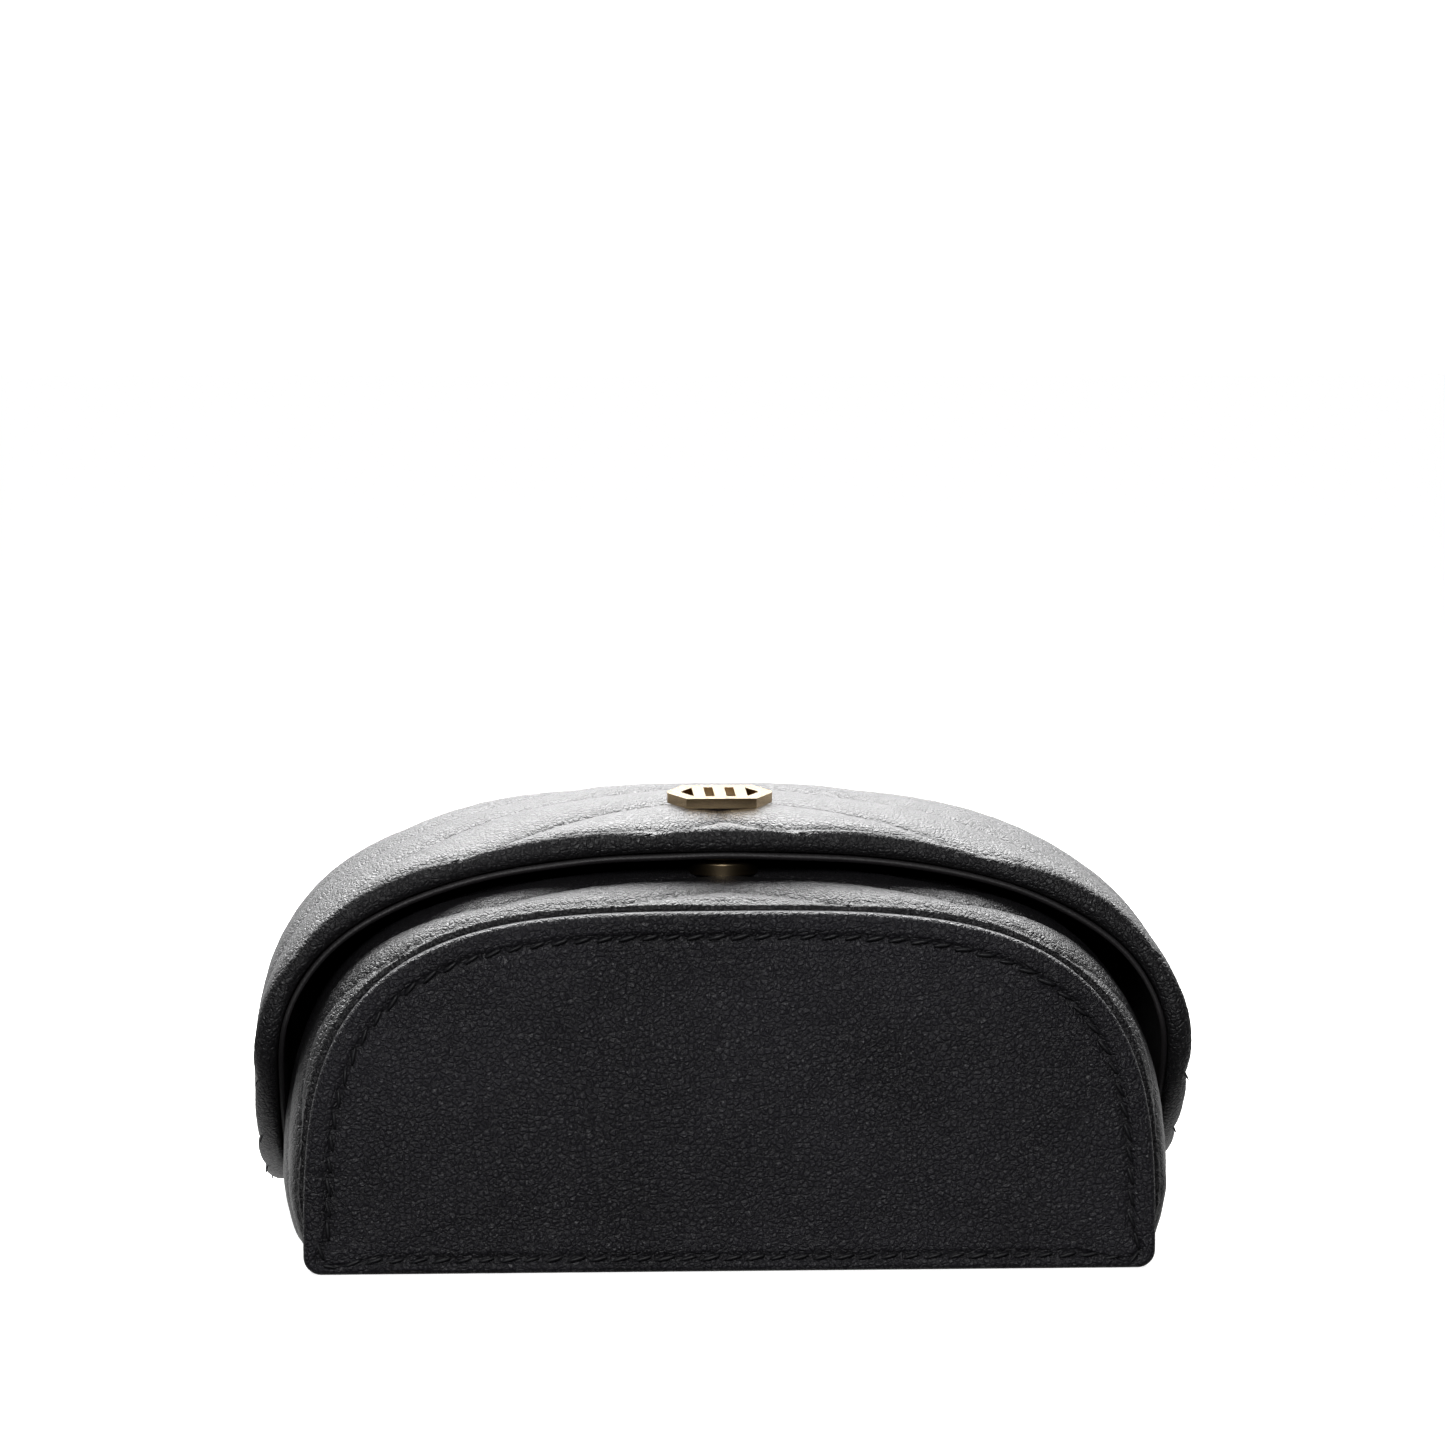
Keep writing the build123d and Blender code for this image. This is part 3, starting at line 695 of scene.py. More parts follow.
@dataclass
class StitchRow:
    """A row of sewn stitches along lines on a surface."""

    thread: bpy.types.Material
    pitch_mm: float = 2.6
    length_mm: float = 2.0
    radius_mm: float = 0.2
    slant_deg: float = 8.0
    seed: int = 3

    def make(self, name: str, lines: list[Array], normals: list[Array],
             closed: bool = False) -> bpy.types.Object:
        """Sews the rows."""
        t = RowTree(name + "_tree")
        t.value("Pitch", "NodeSocketFloat", self.pitch_mm * MM)
        t.value("Half length", "NodeSocketFloat", self.length_mm / 2 * MM)
        t.value("Thread radius", "NodeSocketFloat", self.radius_mm * MM)
        t.value("Slant", "NodeSocketFloat", math.radians(self.slant_deg))
        t.value("Seed", "NodeSocketInt", self.seed)
        t.value("Material", "NodeSocketMaterial", self.thread)
        g = t.start()
        curve = t.node("GeometryNodeMeshToCurve", None, Mesh=g.outputs["Geometry"])
        row = t.node("GeometryNodeResampleCurve", {"mode": "LENGTH"}, Curve=curve.outputs[0],
                     Length=g.outputs["Pitch"])
        ball = t.node("GeometryNodeMeshUVSphere", None, Segments=7, Rings=6, Radius=1.0)
        size = t.node("ShaderNodeCombineXYZ", None, X=g.outputs["Half length"], Y=g.outputs["Thread radius"],
                      Z=g.outputs["Thread radius"])
        stitch = t.node("GeometryNodeTransform", None, Geometry=ball.outputs[0], Scale=size.outputs[0])
        tangent = t.node("GeometryNodeInputTangent")
        outward = t.node("GeometryNodeInputNamedAttribute", {"data_type": "FLOAT_VECTOR"}, Name="outward")
        turn = t.node("FunctionNodeAxesToRotation", {"primary_axis": "X", "secondary_axis": "Z"},
                      Primary_Axis=tangent.outputs[0], Secondary_Axis=outward.outputs[0])
        chance = t.node("FunctionNodeRandomValue", {"data_type": "FLOAT"}, Min=0.86, Max=1.1,
                        Seed=g.outputs["Seed"])
        placed = t.node("GeometryNodeInstanceOnPoints", None, Points=row.outputs[0],
                        Instance=stitch.outputs[0],
                        Rotation=turn.outputs[0])
        t.tree.links.new(chance.outputs[1], placed.inputs["Scale"])
        slant = t.node("ShaderNodeCombineXYZ", None, Z=g.outputs["Slant"])
        slanted = t.node("GeometryNodeRotateInstances", None, Instances=placed.outputs[0],
                         Rotation=slant.outputs[0])
        t.end(slanted.outputs[0])
        return t.apply(name, lines, normals, closed)


@dataclass
class SewnRoll:
    """A leather edge rolled round a cord, with fine gathers across it."""

    leather: bpy.types.Material
    width_mm: float = 2.0
    height_mm: float = 2.0
    gather_mm: float = 1.3
    gather_depth_mm: float = 0.05
    step_mm: float = 0.4

    def make(self, name: str, line: Array, normals: Array) -> bpy.types.Object:
        """Sweeps the roll along an open line."""
        t = RowTree(name + "_tree")
        t.value("Width", "NodeSocketFloat", self.width_mm / 2 * MM)
        t.value("Height", "NodeSocketFloat", self.height_mm / 2 * MM)
        t.value("Step", "NodeSocketFloat", self.step_mm * MM)
        t.value("Gather length", "NodeSocketFloat", self.gather_mm * MM)
        t.value("Gather depth", "NodeSocketFloat", self.gather_depth_mm * MM)
        t.value("Material", "NodeSocketMaterial", self.leather)
        g = t.start()
        curve = t.node("GeometryNodeMeshToCurve", None, Mesh=g.outputs["Geometry"])
        row = t.node("GeometryNodeResampleCurve", {"mode": "LENGTH"}, Curve=curve.outputs[0],
                     Length=g.outputs["Step"])
        ring = t.node("GeometryNodeCurvePrimitiveCircle", None, Resolution=14, Radius=1.0)
        size = t.node("ShaderNodeCombineXYZ", None, X=g.outputs["Width"], Y=g.outputs["Height"], Z=1.0)
        profile = t.node("GeometryNodeTransform", None, Geometry=ring.outputs[0], Scale=size.outputs[0])
        tube = t.node("GeometryNodeCurveToMesh", None, Curve=row.outputs[0], Profile_Curve=profile.outputs[0],
                      Fill_Caps=True)
        place = t.node("GeometryNodeInputPosition")
        wave = t.node("ShaderNodeTexNoise", None, Vector=place.outputs[0], Scale=1000 / self.gather_mm,
                      Detail=1.0)
        centred = t.node("ShaderNodeMath", {"operation": "SUBTRACT"})
        t.tree.links.new(wave.outputs[0], centred.inputs[0])
        centred.inputs[1].default_value = 0.5
        deep = t.node("ShaderNodeMath", {"operation": "MULTIPLY"})
        t.tree.links.new(centred.outputs[0], deep.inputs[0])
        t.tree.links.new(g.outputs["Gather depth"], deep.inputs[1])
        normal = t.node("GeometryNodeInputNormal")
        push = t.node("ShaderNodeVectorMath", {"operation": "SCALE"}, Vector=normal.outputs[0],
                      Scale=deep.outputs[0])
        moved = t.node("GeometryNodeSetPosition", None, Geometry=tube.outputs[0], Offset=push.outputs[0])
        t.end(moved.outputs[0])
        obj = t.apply(name, [line], [normals])
        tidy_mesh(obj)
        return obj


# ---------------------------------------------------------------- quilted leather
@dataclass(frozen=True)
class Wave:
    """A waviness of the leather; one that runs beside a seam also fades with its distance from it."""

    length_mm: float
    height_mm: float
    reach_mm: float = 1.0
    wander: float = 0.0

    def beside(self, gap: Array, along: Array, wander: Array) -> Array:
        """Puckers at a distance from a seam and a place along it."""
        phase = 2 * math.pi * along / self.length_mm + self.wander * wander
        return np.exp(-gap / self.reach_mm) * np.sin(phase)


@dataclass
class Quilt:
    """A padded leather skin sewn through along nested chevrons, its edges turned round and in."""

    skin: Skin
    ys_of: Callable[[Array], tuple[Array, Array]]
    lines: Callable[[Array, Array], Array]
    puff_mm: float = 1.3
    sink_mm: float = 0.7
    seam_in_mm: float = 3.0
    edge_radius_mm: float = 1.6
    pitch_mm: float = 14.0
    seed: int = 5
    columns: int = 380
    rows: int = 150
    turned_mm: float = 7.0
    outline: Array = field(default_factory=lambda: np.zeros((0, 2)))

    def layout(self) -> tuple[Array, Array]:
        """Arc share and distance along the case of every grid point, closer together at the edges."""
        shares = crowded(self.columns)
        r = np.linspace(0.0, 1.0, self.rows)
        rows = 0.8 * r + 0.2 * (1 - np.cos(math.pi * r)) / 2
        low, high = self.ys_of(shares)
        ys = low[None, :] + (high - low)[None, :] * rows[:, None]
        return np.broadcast_to(shares, ys.shape).copy(), ys

    def edge_distance(self, shares: Array, ys: Array) -> Array:
        """Distance along the leather to its nearest edge, in millimetres."""
        flat = np.stack([shares.ravel() * self.skin.half_length, ys.ravel()], axis=1)
        best = np.full(len(flat), 1e9)
        starts, ends = self.outline[:-1], self.outline[1:]
        for a, b in zip(starts, ends):
            d = b - a
            t = np.clip(((flat - a) @ d) / max(float(d @ d), 1e-9), 0.0, 1.0)
            gap = flat - (a + t[:, None] * d)
            np.minimum(best, np.hypot(gap[:, 0], gap[:, 1]), out=best)
        return best.reshape(shares.shape)

    def build(self, name: str, material: bpy.types.Material) -> bpy.types.Object:
        """Makes the leather.

        Args:
            name: the piece's name.
            material: its finish.

        Returns:
            The piece.
        """
        shares, ys = self.layout()
        self.outline = self.boundary(shares, ys)
        edge = self.edge_distance(shares, ys)
        edge[[0, -1], :] = 0.0
        edge[:, [0, -1]] = 0.0
        height, crest = self.height(shares, ys, edge)
        r = self.edge_radius_mm
        inside = np.clip(edge / r, 0.0, 1.0)
        round_off = r * (1 - np.sqrt(np.clip(1 - (1 - inside) ** 2, 0.0, 1.0)))
        outer = self.skin.at(shares, ys, round_off - height * ease(edge, 0.0, r))
        inner = self.skin.at(shares, ys, 2 * r - round_off)
        count = shares.size
        index = np.arange(count).reshape(shares.shape)
        under = index + count
        rim = edge < 1e-6
        under = np.where(rim, index, under)
        cell_edge = np.minimum.reduce([edge[:-1, :-1], edge[1:, :-1], edge[1:, 1:], edge[:-1, 1:]])
        turned = cell_edge < self.turned_mm
        faces = np.concatenate([grid_faces(index), grid_faces(under, turned, flip=True)])
        vertices = np.concatenate([outer.reshape(-1, 3), inner.reshape(-1, 3)])
        # The turned-under side gets 0, the finish's painted shade.
        shade = np.concatenate([crest.ravel(), np.zeros(count)])
        used, compact = np.unique(faces, return_inverse=True)
        obj = make_object(name, vertices[used], compact.reshape(faces.shape), material, shade[used])
        tidy_mesh(obj)
        return obj

    def boundary(self, shares: Array, ys: Array) -> Array:
        """The leather's outline on its unrolled surface."""
        s = shares * self.skin.half_length
        sides = [np.stack([s[0], ys[0]], 1), np.stack([s[:, -1], ys[:, -1]], 1),
                 np.stack([s[-1, ::-1], ys[-1, ::-1]], 1), np.stack([s[::-1, 0], ys[::-1, 0]], 1)]
        return np.concatenate(sides)[::2]

    def height(self, shares: Array, ys: Array, edge: Array) -> tuple[Array, Array]:
        """How far the leather stands above its smooth surface, and how near a point is to a puff's crest."""
        s = shares * self.skin.half_length
        gap, along = self.lines(s, ys)
        half = self.pitch_mm / 2
        wide = np.clip(gap / half, 0.0, 1.0)
        puff = np.sqrt(1 - (1 - wide) ** PUFF_POWER)
        from_seam = np.abs(edge - self.seam_in_mm)
        seam = np.clip(from_seam / HEM_RISE_MM, 0.0, 1.0)
        lip = np.sqrt(1 - (1 - seam) ** HEM_POWER)
        roll = edge < self.seam_in_mm
        lip = np.where(roll, 0.35 + 0.65 * np.clip(from_seam / ROLL_RISE_MM, 0, 1) ** ROLL_POWER, lip)
        lift = np.where(roll, 0.55 + 0.45 * puff, puff) * np.where(seam < 1, 0.25 + 0.75 * lip, 1.0)
        points = np.stack([s, ys, np.zeros_like(s)], axis=-1)
        broad = Ripple(BROAD.length_mm, self.seed)(points)
        wander = Ripple(WANDER.length_mm, self.seed + 1)(points)
        fine = Ripple(FINE.length_mm, self.seed + 2)(points)
        pucker = PUCKER.beside(gap, along, wander)
        hem = HEM.beside(from_seam, s + ys, wander)
        height = self.puff_mm * lift - self.sink_mm
        height = height + BROAD.height_mm * broad + PUCKER.height_mm * pucker + HEM.height_mm * hem
        height = height + WANDER.height_mm * wander + FINE.height_mm * fine
        # The second value is the painted light mask: painted sheen on the crests, painted shade in the seams.
        return height, np.clip(lift, 0.0, 1.0) ** CREST_POWER

    def seam_lines(self, paths: list[tuple[Array, Array]], lift_mm: float = 0.12) -> tuple[list[Array],
                                                                                           list[Array]]:
        """Polylines that lie in the seams, with their outward normals.

        Args:
            paths: arc shares and distances along the case of each seam.
            lift_mm: how far the thread's middle stands above the leather.

        Returns:
            The lines and their normals.
        """
        lines, normals = [], []
        for shares, ys in paths:
            edge = self.edge_distance(shares, ys)
            height, _ = self.height(shares, ys, edge)
            point = self.skin.at(shares, ys, -height - lift_mm)
            above = self.skin.at(shares, ys, -height - lift_mm - 1.0)
            lines.append(point)
            normals.append(above - point)
        return lines, normals


BROAD = Wave(34.0, 0.22)
WANDER = Wave(5.0, 0.035)
FINE = Wave(2.4, 0.02)
PUCKER = Wave(2.7, 0.10, reach_mm=1.9, wander=1.6)
HEM = Wave(2.3, 0.05, reach_mm=1.4, wander=2.0)


@dataclass
class Tub:
    """The case's quilted wall, from the base rim to the mouth."""

    sizes: Sizes
    start_half: float = 71.8
    start_depth: float = 61.0
    mouth_half: float = 72.4
    mouth_depth: float = 63.0
    base_power: float = 3.4
    mouth_power: float = 3.0
    swell: float = 2.7
    skew: float = 0.6
    amplitude: float = 15.0
    period: float = 75.0
    pitch: float = 13.5
    apex_y: float = 11.0
    tuck: float = 3.6
    tuck_z: float = 14.0
    lining_depths: tuple[float, float] = (4.7, 5.35)
    lining_end: float = 1.7
    binding_depth: float = 2.75
    binding_half: float = 2.55
    binding_below: float = 1.1

    def section(self, along: float, inset: float) -> tuple[float, float, float]:
        """Half width, depth and squareness at a share of the way from base to mouth."""
        swell = self.swell * math.sin(math.pi * along**self.skew)
        half = self.start_half + along * (self.mouth_half - self.start_half) + swell - inset
        depth = self.start_depth + along * (self.mouth_depth - self.start_depth) + swell - inset
        return half, depth, self.base_power + along * (self.mouth_power - self.base_power)

    def skin(self, inset: float = 0.0, low_z: float = 1.3) -> Skin:
        """The wall's smooth surface, drawn in by inset."""
        shares = np.linspace(0.0, 1.0, 161)
        ys = np.linspace(self.sizes.base_y + self.sizes.rim_top, self.sizes.mouth_y, 60)
        rows, length = [], 0.0
        for along in np.linspace(0.0, 1.0, len(ys)):
            half, depth, power = self.section(float(along), inset)
            quarter = superellipse(half, depth, power, 240)
            quarter = quarter[quarter[:, 1] >= low_z]
            quarter[:, 0] -= self.tuck * np.clip(1 - quarter[:, 1] / self.tuck_z, 0.0, 1.0) ** 1.6
            length = length_of(quarter)
            rows.append(mirrored(spaced(quarter, shares)))
        points = np.stack([np.insert(row, 1, y, axis=1) for row, y in zip(rows, ys)])
        return Skin(ys, np.linspace(-1.0, 1.0, 321), points, length)

    def slope(self) -> float:
        """Steepness of the zigzag's legs."""
        return self.amplitude / (self.period / 2)

    def fall(self, s: Array) -> Array:
        """How far the zigzag lies below its apexes at a distance round the wall."""
        return self.slope() * np.abs(((s + self.period / 2) % self.period) - self.period / 2)

    def chevrons(self, s: Array, ys: Array) -> tuple[Array, Array]:
        """Distance to the nearest sewn line of the zigzag, and the distance along it."""
        level = (ys - self.sizes.base_y - self.apex_y + self.fall(s)) / self.pitch
        gap = np.abs(level - np.round(level)) * self.pitch / math.hypot(1.0, self.slope())
        return gap, s

    def paths(self, quilt: Quilt) -> list[tuple[Array, Array]]:
        """Every sewn line of the wall."""
        length = quilt.skin.half_length
        s = np.arange(-length + 3.0, length - 3.0, 0.5)
        found = []
        for k in range(-1, 9):
            ys = self.sizes.base_y + self.apex_y + k * self.pitch - self.fall(s)
            keep = (ys > self.sizes.base_y + self.sizes.rim_top + 1.0) & (ys < self.sizes.mouth_y - 3.5)
            for run in runs(keep):
                found.append((s[run] / length, ys[run]))
        return found

    def build(self, finishes: Finishes) -> None:
        """Makes the wall's leather, thread, lining and mouth binding."""
        z = self.sizes
        low, high = z.base_y + z.rim_top + 0.2, z.mouth_y - 1.6
        quilt = Quilt(self.skin(), lambda f: (np.full_like(f, low), np.full_like(f, high)), self.chevrons,
                      puff_mm=1.55, sink_mm=0.95, seam_in_mm=1.2, edge_radius_mm=1.1, pitch_mm=12.5, seed=11,
                      columns=420, rows=120)
        leather = quilt.build("wall_quilt", finishes.quilt)
        settle(leather, Body.CASE, "black_lambskin", "wall_leather", "wall_padding")
        lines, normals = quilt.seam_lines(self.paths(quilt))
        thread = StitchRow(finishes.thread, pitch_mm=2.5, length_mm=2.0, radius_mm=0.17, slant_deg=6.0,
                           seed=21)
        settle(thread.make("wall_stitches", lines, normals), Body.CASE, "black_lambskin")
        self.lining(finishes)
        self.binding(finishes)

    def lining(self, finishes: Finishes) -> None:
        """Makes the soft lining glued inside the wall."""
        z = self.sizes
        skin = self.skin()
        shares = np.linspace(-0.972, 0.972, 240)
        ys = np.linspace(z.base_y + z.rim_top + self.lining_end, z.mouth_y - self.lining_end, 80)
        grid, along = np.meshgrid(shares, ys)
        points = np.stack([grid * skin.half_length, along, 0 * along], axis=-1)
        wave = 0.10 * Ripple(19.0, 61)(points)
        near, far = self.lining_depths
        obj = closed_sheet("wall_lining_suede", skin.at(grid, along, near), skin.at(grid, along, far + wave),
                           finishes.suede)
        settle(obj, Body.CASE, "suede_lining", "wall_lining", "wall_board")

    def binding(self, finishes: Finishes) -> None:
        """Makes the leather binding folded over the wall's mouth."""
        z = self.sizes
        skin = self.skin()
        shares = np.linspace(-0.975, 0.975, 460)
        turn = np.linspace(0.0, 2 * math.pi, 21)[:-1]
        flow = shares * skin.half_length
        wander = Ripple(7.0, 62)(np.stack([flow, 0 * flow, 0 * flow], 1))
        gather = 0.06 * np.sin(2 * math.pi * flow / 2.1 + 1.5 * wander)
        rows = []
        for angle in turn:
            c, d = math.cos(angle), math.sin(angle)
            across = math.copysign(abs(c) ** 0.6, c) * self.binding_half
            up = math.copysign(abs(d) ** 0.7, d)
            level = np.full_like(shares, z.mouth_y - self.binding_below + up)
            rows.append(skin.at(shares, level, self.binding_depth - across + gather * up))
        grid = np.stack(rows, axis=1)
        obj = tube_mesh("mouth_binding_leather", grid, finishes.edge)
        settle(obj, Body.CASE, "black_lambskin", "mouth_binding")


def tube_mesh(name: str, grid: Array, material: bpy.types.Material) -> bpy.types.Object:
    """A closed tube from rings of points, one row a ring."""
    rings, around = grid.shape[:2]
    index = np.arange(rings * around).reshape(rings, around)
    wrapped = np.concatenate([index, index[:, :1]], axis=1)
    faces = grid_faces(wrapped).tolist() + [index[0].tolist(), index[-1, ::-1].tolist()]
    obj = make_object(name, grid.reshape(-1, 3), faces, material)
    tidy_mesh(obj)
    return obj


def runs(keep: Array) -> list[slice]:
    """Stretches of at least four kept points."""
    found, start = [], None
    for i, flag in enumerate([*keep.tolist(), False]):
        if flag and start is None:
            start = i
        elif not flag and start is not None:
            if i - start > 3:
                found.append(slice(start, i))
            start = None
    return found


@dataclass
class Hood:
    """The quilted hood lid with its rolled edge, lining ply and cap."""

    sizes: Sizes
    crest: float = 74.9
    half: float = 79.3
    widest_z: float = 30.0
    crest_y: float = 50.0
    power: float = 2.5
    tuck: float = 95.0
    drop: float = 3.4
    cap_share: float = 0.66
    crest_power: float = 3.2
    side_power: float = 4.5
    knee_z: float = 42.0
    heel_run: float = 56.0
    sweep_power: float = 1.68
    slope: float = 0.6
    pitch: float = 20.0
    apex_y: float = 9.0
    hem_in: float = 3.0
    hem_share: float = 0.985
    ply_depths: tuple[float, float] = (3.65, 4.5)
    cap_middle_z: float = 24.0
    cap_inside: float = 4.6

    def along(self, y: float, inset: float) -> float:
        """How far a section lies towards the point where the dome would close."""
        cap = self.sizes.cap_y - self.sizes.base_y
        reach = (cap - self.crest_y) / (1 - self.cap_share**self.crest_power) ** (1 / self.crest_power)
        return max(0.0, (y - self.crest_y) / (reach - inset))

    def section(self, y: float, inset: float) -> Array:
        """Half of the lid's section at a distance from the base, from its crest to its lower edge."""
        share = self.along(y, inset)
        edge_y = self.sizes.lid_edge_y - self.sizes.base_y
        before = max(0.0, (self.crest_y - y) / (self.crest_y - edge_y))
        half = (self.half - inset) * (1 - share**self.side_power) ** (1 / self.side_power)
        height = (self.crest - inset) * (1 - share**self.crest_power) ** (1 / self.crest_power)
        height -= self.drop * before**2
        upper = superellipse(half, height - self.widest_z, self.power, 200)
        upper[:, 1] += self.widest_z
        down = np.linspace(0.0, self.widest_z - self.sizes.seat_z, 40)[1:]
        x = half * (1 - (down / self.tuck) ** self.power) ** (1 / self.power)
        return np.concatenate([upper, np.stack([x, self.widest_z - down], 1)])

    def skin(self, inset: float = 0.0) -> Skin:
        """The hood's smooth surface, drawn in by inset."""
        z = self.sizes
        shares = np.linspace(0.0, 1.0, 161)
        ys = np.linspace(z.lid_edge_y, z.cap_y - inset, 110)
        rows = [mirrored(spaced(self.section(float(y - z.base_y), inset), shares)) for y in ys]
        points = np.stack([np.insert(row, 1, y, axis=1) for row, y in zip(rows, ys)])
        length = length_of(self.section(self.crest_y, inset))
        return Skin(ys, np.linspace(-1.0, 1.0, 321), points, length)

    def edge_y(self, skin: Skin, shares: Array) -> Array:
        """Where the lid's edge lies along the case: straight at the front, swept back over the sides."""
        z = skin.at(shares, np.full_like(shares, self.sizes.lid_edge_y + 25.0))[:, 2]
        fall = np.clip((self.knee_z - z) / (self.knee_z - self.sizes.seat_z), 0.0, 1.0)
        reach = 1 - (1 - fall**self.sweep_power) ** (1 / self.sweep_power)
        return self.sizes.lid_edge_y + self.heel_run * reach

    def chevrons(self, s: Array, ys: Array) -> tuple[Array, Array]:
        """Distance to the nearest sewn line of the nested chevrons, and the distance along it."""
        level = (ys - self.sizes.lid_edge_y - self.apex_y + self.slope * np.abs(s)) / self.pitch
        gap = np.abs(level - np.round(level)) * self.pitch / math.hypot(1.0, self.slope)
        return gap, s + self.slope * ys

    def paths(self, quilt: Quilt) -> list[tuple[Array, Array]]:
        """Every sewn line of the hood, and the seam along its edge."""
        length = quilt.skin.half_length
        s = np.arange(-length + 1.0, length - 1.0, 0.5)
        start = self.edge_y(quilt.skin, s / length)
        found = []
        for k in range(0, 11):
            ys = self.sizes.lid_edge_y + self.apex_y + k * self.pitch - self.slope * np.abs(s)
            keep = (ys > start + 0.8) & (ys < self.sizes.cap_y - 2.5)
            for run in runs(keep):
                found.append((s[run] / length, ys[run]))
        return found

    def hem(self, quilt: Quilt, inset: float) -> tuple[Array, Array]:
        """The line at a distance inside the hood's lower edge."""
        length = quilt.skin.half_length
        shares = crowded(500) * self.hem_share
        ys = self.edge_y(quilt.skin, shares)
        line = np.stack([shares * length, ys], 1)
        way = np.gradient(line, axis=0)
        way /= np.linalg.norm(way, axis=1, keepdims=True)
        line = line + np.stack([-way[:, 1], way[:, 0]], 1) * inset
        return line[:, 0] / length, line[:, 1]

    def build(self, finishes: Finishes) -> None:
        """Makes the hood's leather, thread, lining ply and cap."""
        z = self.sizes
        skin = self.skin()
        high = z.cap_y - 0.6
        quilt = Quilt(skin, lambda f: (self.edge_y(skin, f), np.full_like(f, high)), self.chevrons,
                      puff_mm=2.0,
                      sink_mm=1.25, seam_in_mm=self.hem_in, edge_radius_mm=1.7, pitch_mm=17.0, seed=31,
                      columns=440, rows=165)
        leather = quilt.build("hood_quilt", finishes.quilt)
        settle(leather, Body.LID, "black_lambskin", "lid_leather", "lid_edge_roll", "lid_padding")
        lines, normals = quilt.seam_lines(self.paths(quilt))
        edge_line, edge_normal = quilt.seam_lines([self.hem(quilt, self.hem_in)])
        thread = StitchRow(finishes.thread, pitch_mm=2.6, length_mm=2.1, radius_mm=0.18, slant_deg=6.0,
                           seed=22)
        settle(thread.make("hood_stitches", lines + edge_line, normals + edge_normal), Body.LID,
               "black_lambskin")
        self.ply(finishes, skin)
        self.cap(finishes, skin)
        self.cap_lining(finishes, skin)
        self.piping(finishes, skin)

    def ply(self, finishes: Finishes, skin: Skin) -> None:
        """Makes the lining leather inside the hood, its cut edge just behind the roll."""
        shares = crowded(200)
        low = self.edge_y(skin, shares) + 0.5
        high = np.full_like(low, self.sizes.cap_y - 1.0)
        r = np.linspace(0.0, 1.0, 60)
        ys = low[None, :] + (high - low)[None, :] * r[:, None]
        grid = np.broadcast_to(shares, ys.shape)
        points = np.stack([grid * skin.half_length, ys, 0 * ys], axis=-1)
        wave = 0.12 * Ripple(26.0, 41)(points)
        outer, inner = (skin.at(grid * 0.995, ys, depth + wave) for depth in self.ply_depths)
        obj = closed_sheet("hood_ply", outer, inner, finishes.ply)
        settle(obj, Body.LID, "lining_leather", "lid_lining", "lid_board")

    def cap(self, finishes: Finishes, skin: Skin) -> None:
        """Makes the flat leather cap at the hinge end, gently crowned."""
        z = self.sizes
        ring = skin.at(np.linspace(-1.0, 1.0, 321), np.full(321, z.cap_y))
        ring = np.concatenate([ring, np.stack([np.linspace(ring[-1, 0], ring[0, 0], 121)[1:-1],
                                               np.full(119, z.cap_y), np.full(119, z.seat_z)], 1)])
        middle = np.array([0.0, z.cap_y, self.cap_middle_z])
        shares = 1 - np.linspace(0.0, 1.0, 40) ** 1.6
        shares[-1] = 0.0
        rows = []
        for share in shares:
            row = middle + (ring - middle) * share
            reach = (1 - share) * 30.0
            row[:, 1] += -0.9 + 0.9 * float(ease(reach, 0.0, 1.6)) + 0.2 * float(ease(reach, 0.0, 12.0))
            rows.append(row)
        grid = np.stack(rows)
        grid = np.concatenate([grid, grid[:, :1]], axis=1)
        index = np.arange(grid[..., 0].size).reshape(grid.shape[:2])
        # A crest of 0.5 gives the cap half of the puffs' painted sheen.
        obj = make_object("hood_cap", grid.reshape(-1, 3), grid_faces(index), finishes.quilt,
                          np.full(index.size, 0.5))
        tidy_mesh(obj)
        settle(obj, Body.LID, "black_lambskin", "lid_cap_leather")

    def cap_lining(self, finishes: Finishes, skin: Skin) -> None:
        """Makes the lining leather on the inner face of the cap."""
        z = self.sizes
        ring = skin.at(np.linspace(-0.985, 0.985, 241), np.full(241, z.cap_y - 4.3), 3.9)
        ring[:, 1] = z.cap_y - self.cap_inside
        floor = np.linspace(ring[-1], ring[0], 121)[1:-1]
        loop = np.concatenate([ring, floor])
        middle = np.array([0.0, z.cap_y - self.cap_inside, self.cap_middle_z])
        shares = np.linspace(1.0, 0.02, 30)[:, None, None]
        face = middle + (loop - middle) * shares
        face = np.concatenate([face, face[:, :1]], axis=1)
        back = face + np.array([0.0, 0.5, 0.0])
        obj = closed_sheet("hood_cap_lining", face, back, finishes.ply)
        settle(obj, Body.LID, "lining_leather", "lid_cap_board")

    def piping(self, finishes: Finishes, skin: Skin) -> None:
        """Makes the corded seam between the hood and its cap."""
        z = self.sizes
        shares = np.linspace(-0.8, 0.8, 400)
        line = skin.at(shares, np.full(400, z.cap_y - 0.7), 0.25)
        out = line - np.array([0.0, z.cap_y, self.cap_middle_z])
        roll = SewnRoll(finishes.edge, width_mm=1.7, height_mm=1.7, gather_mm=1.5, gather_depth_mm=0.12)
        settle(roll.make("hood_piping", line, out), Body.LID, "black_lambskin", "lid_cap_piping")


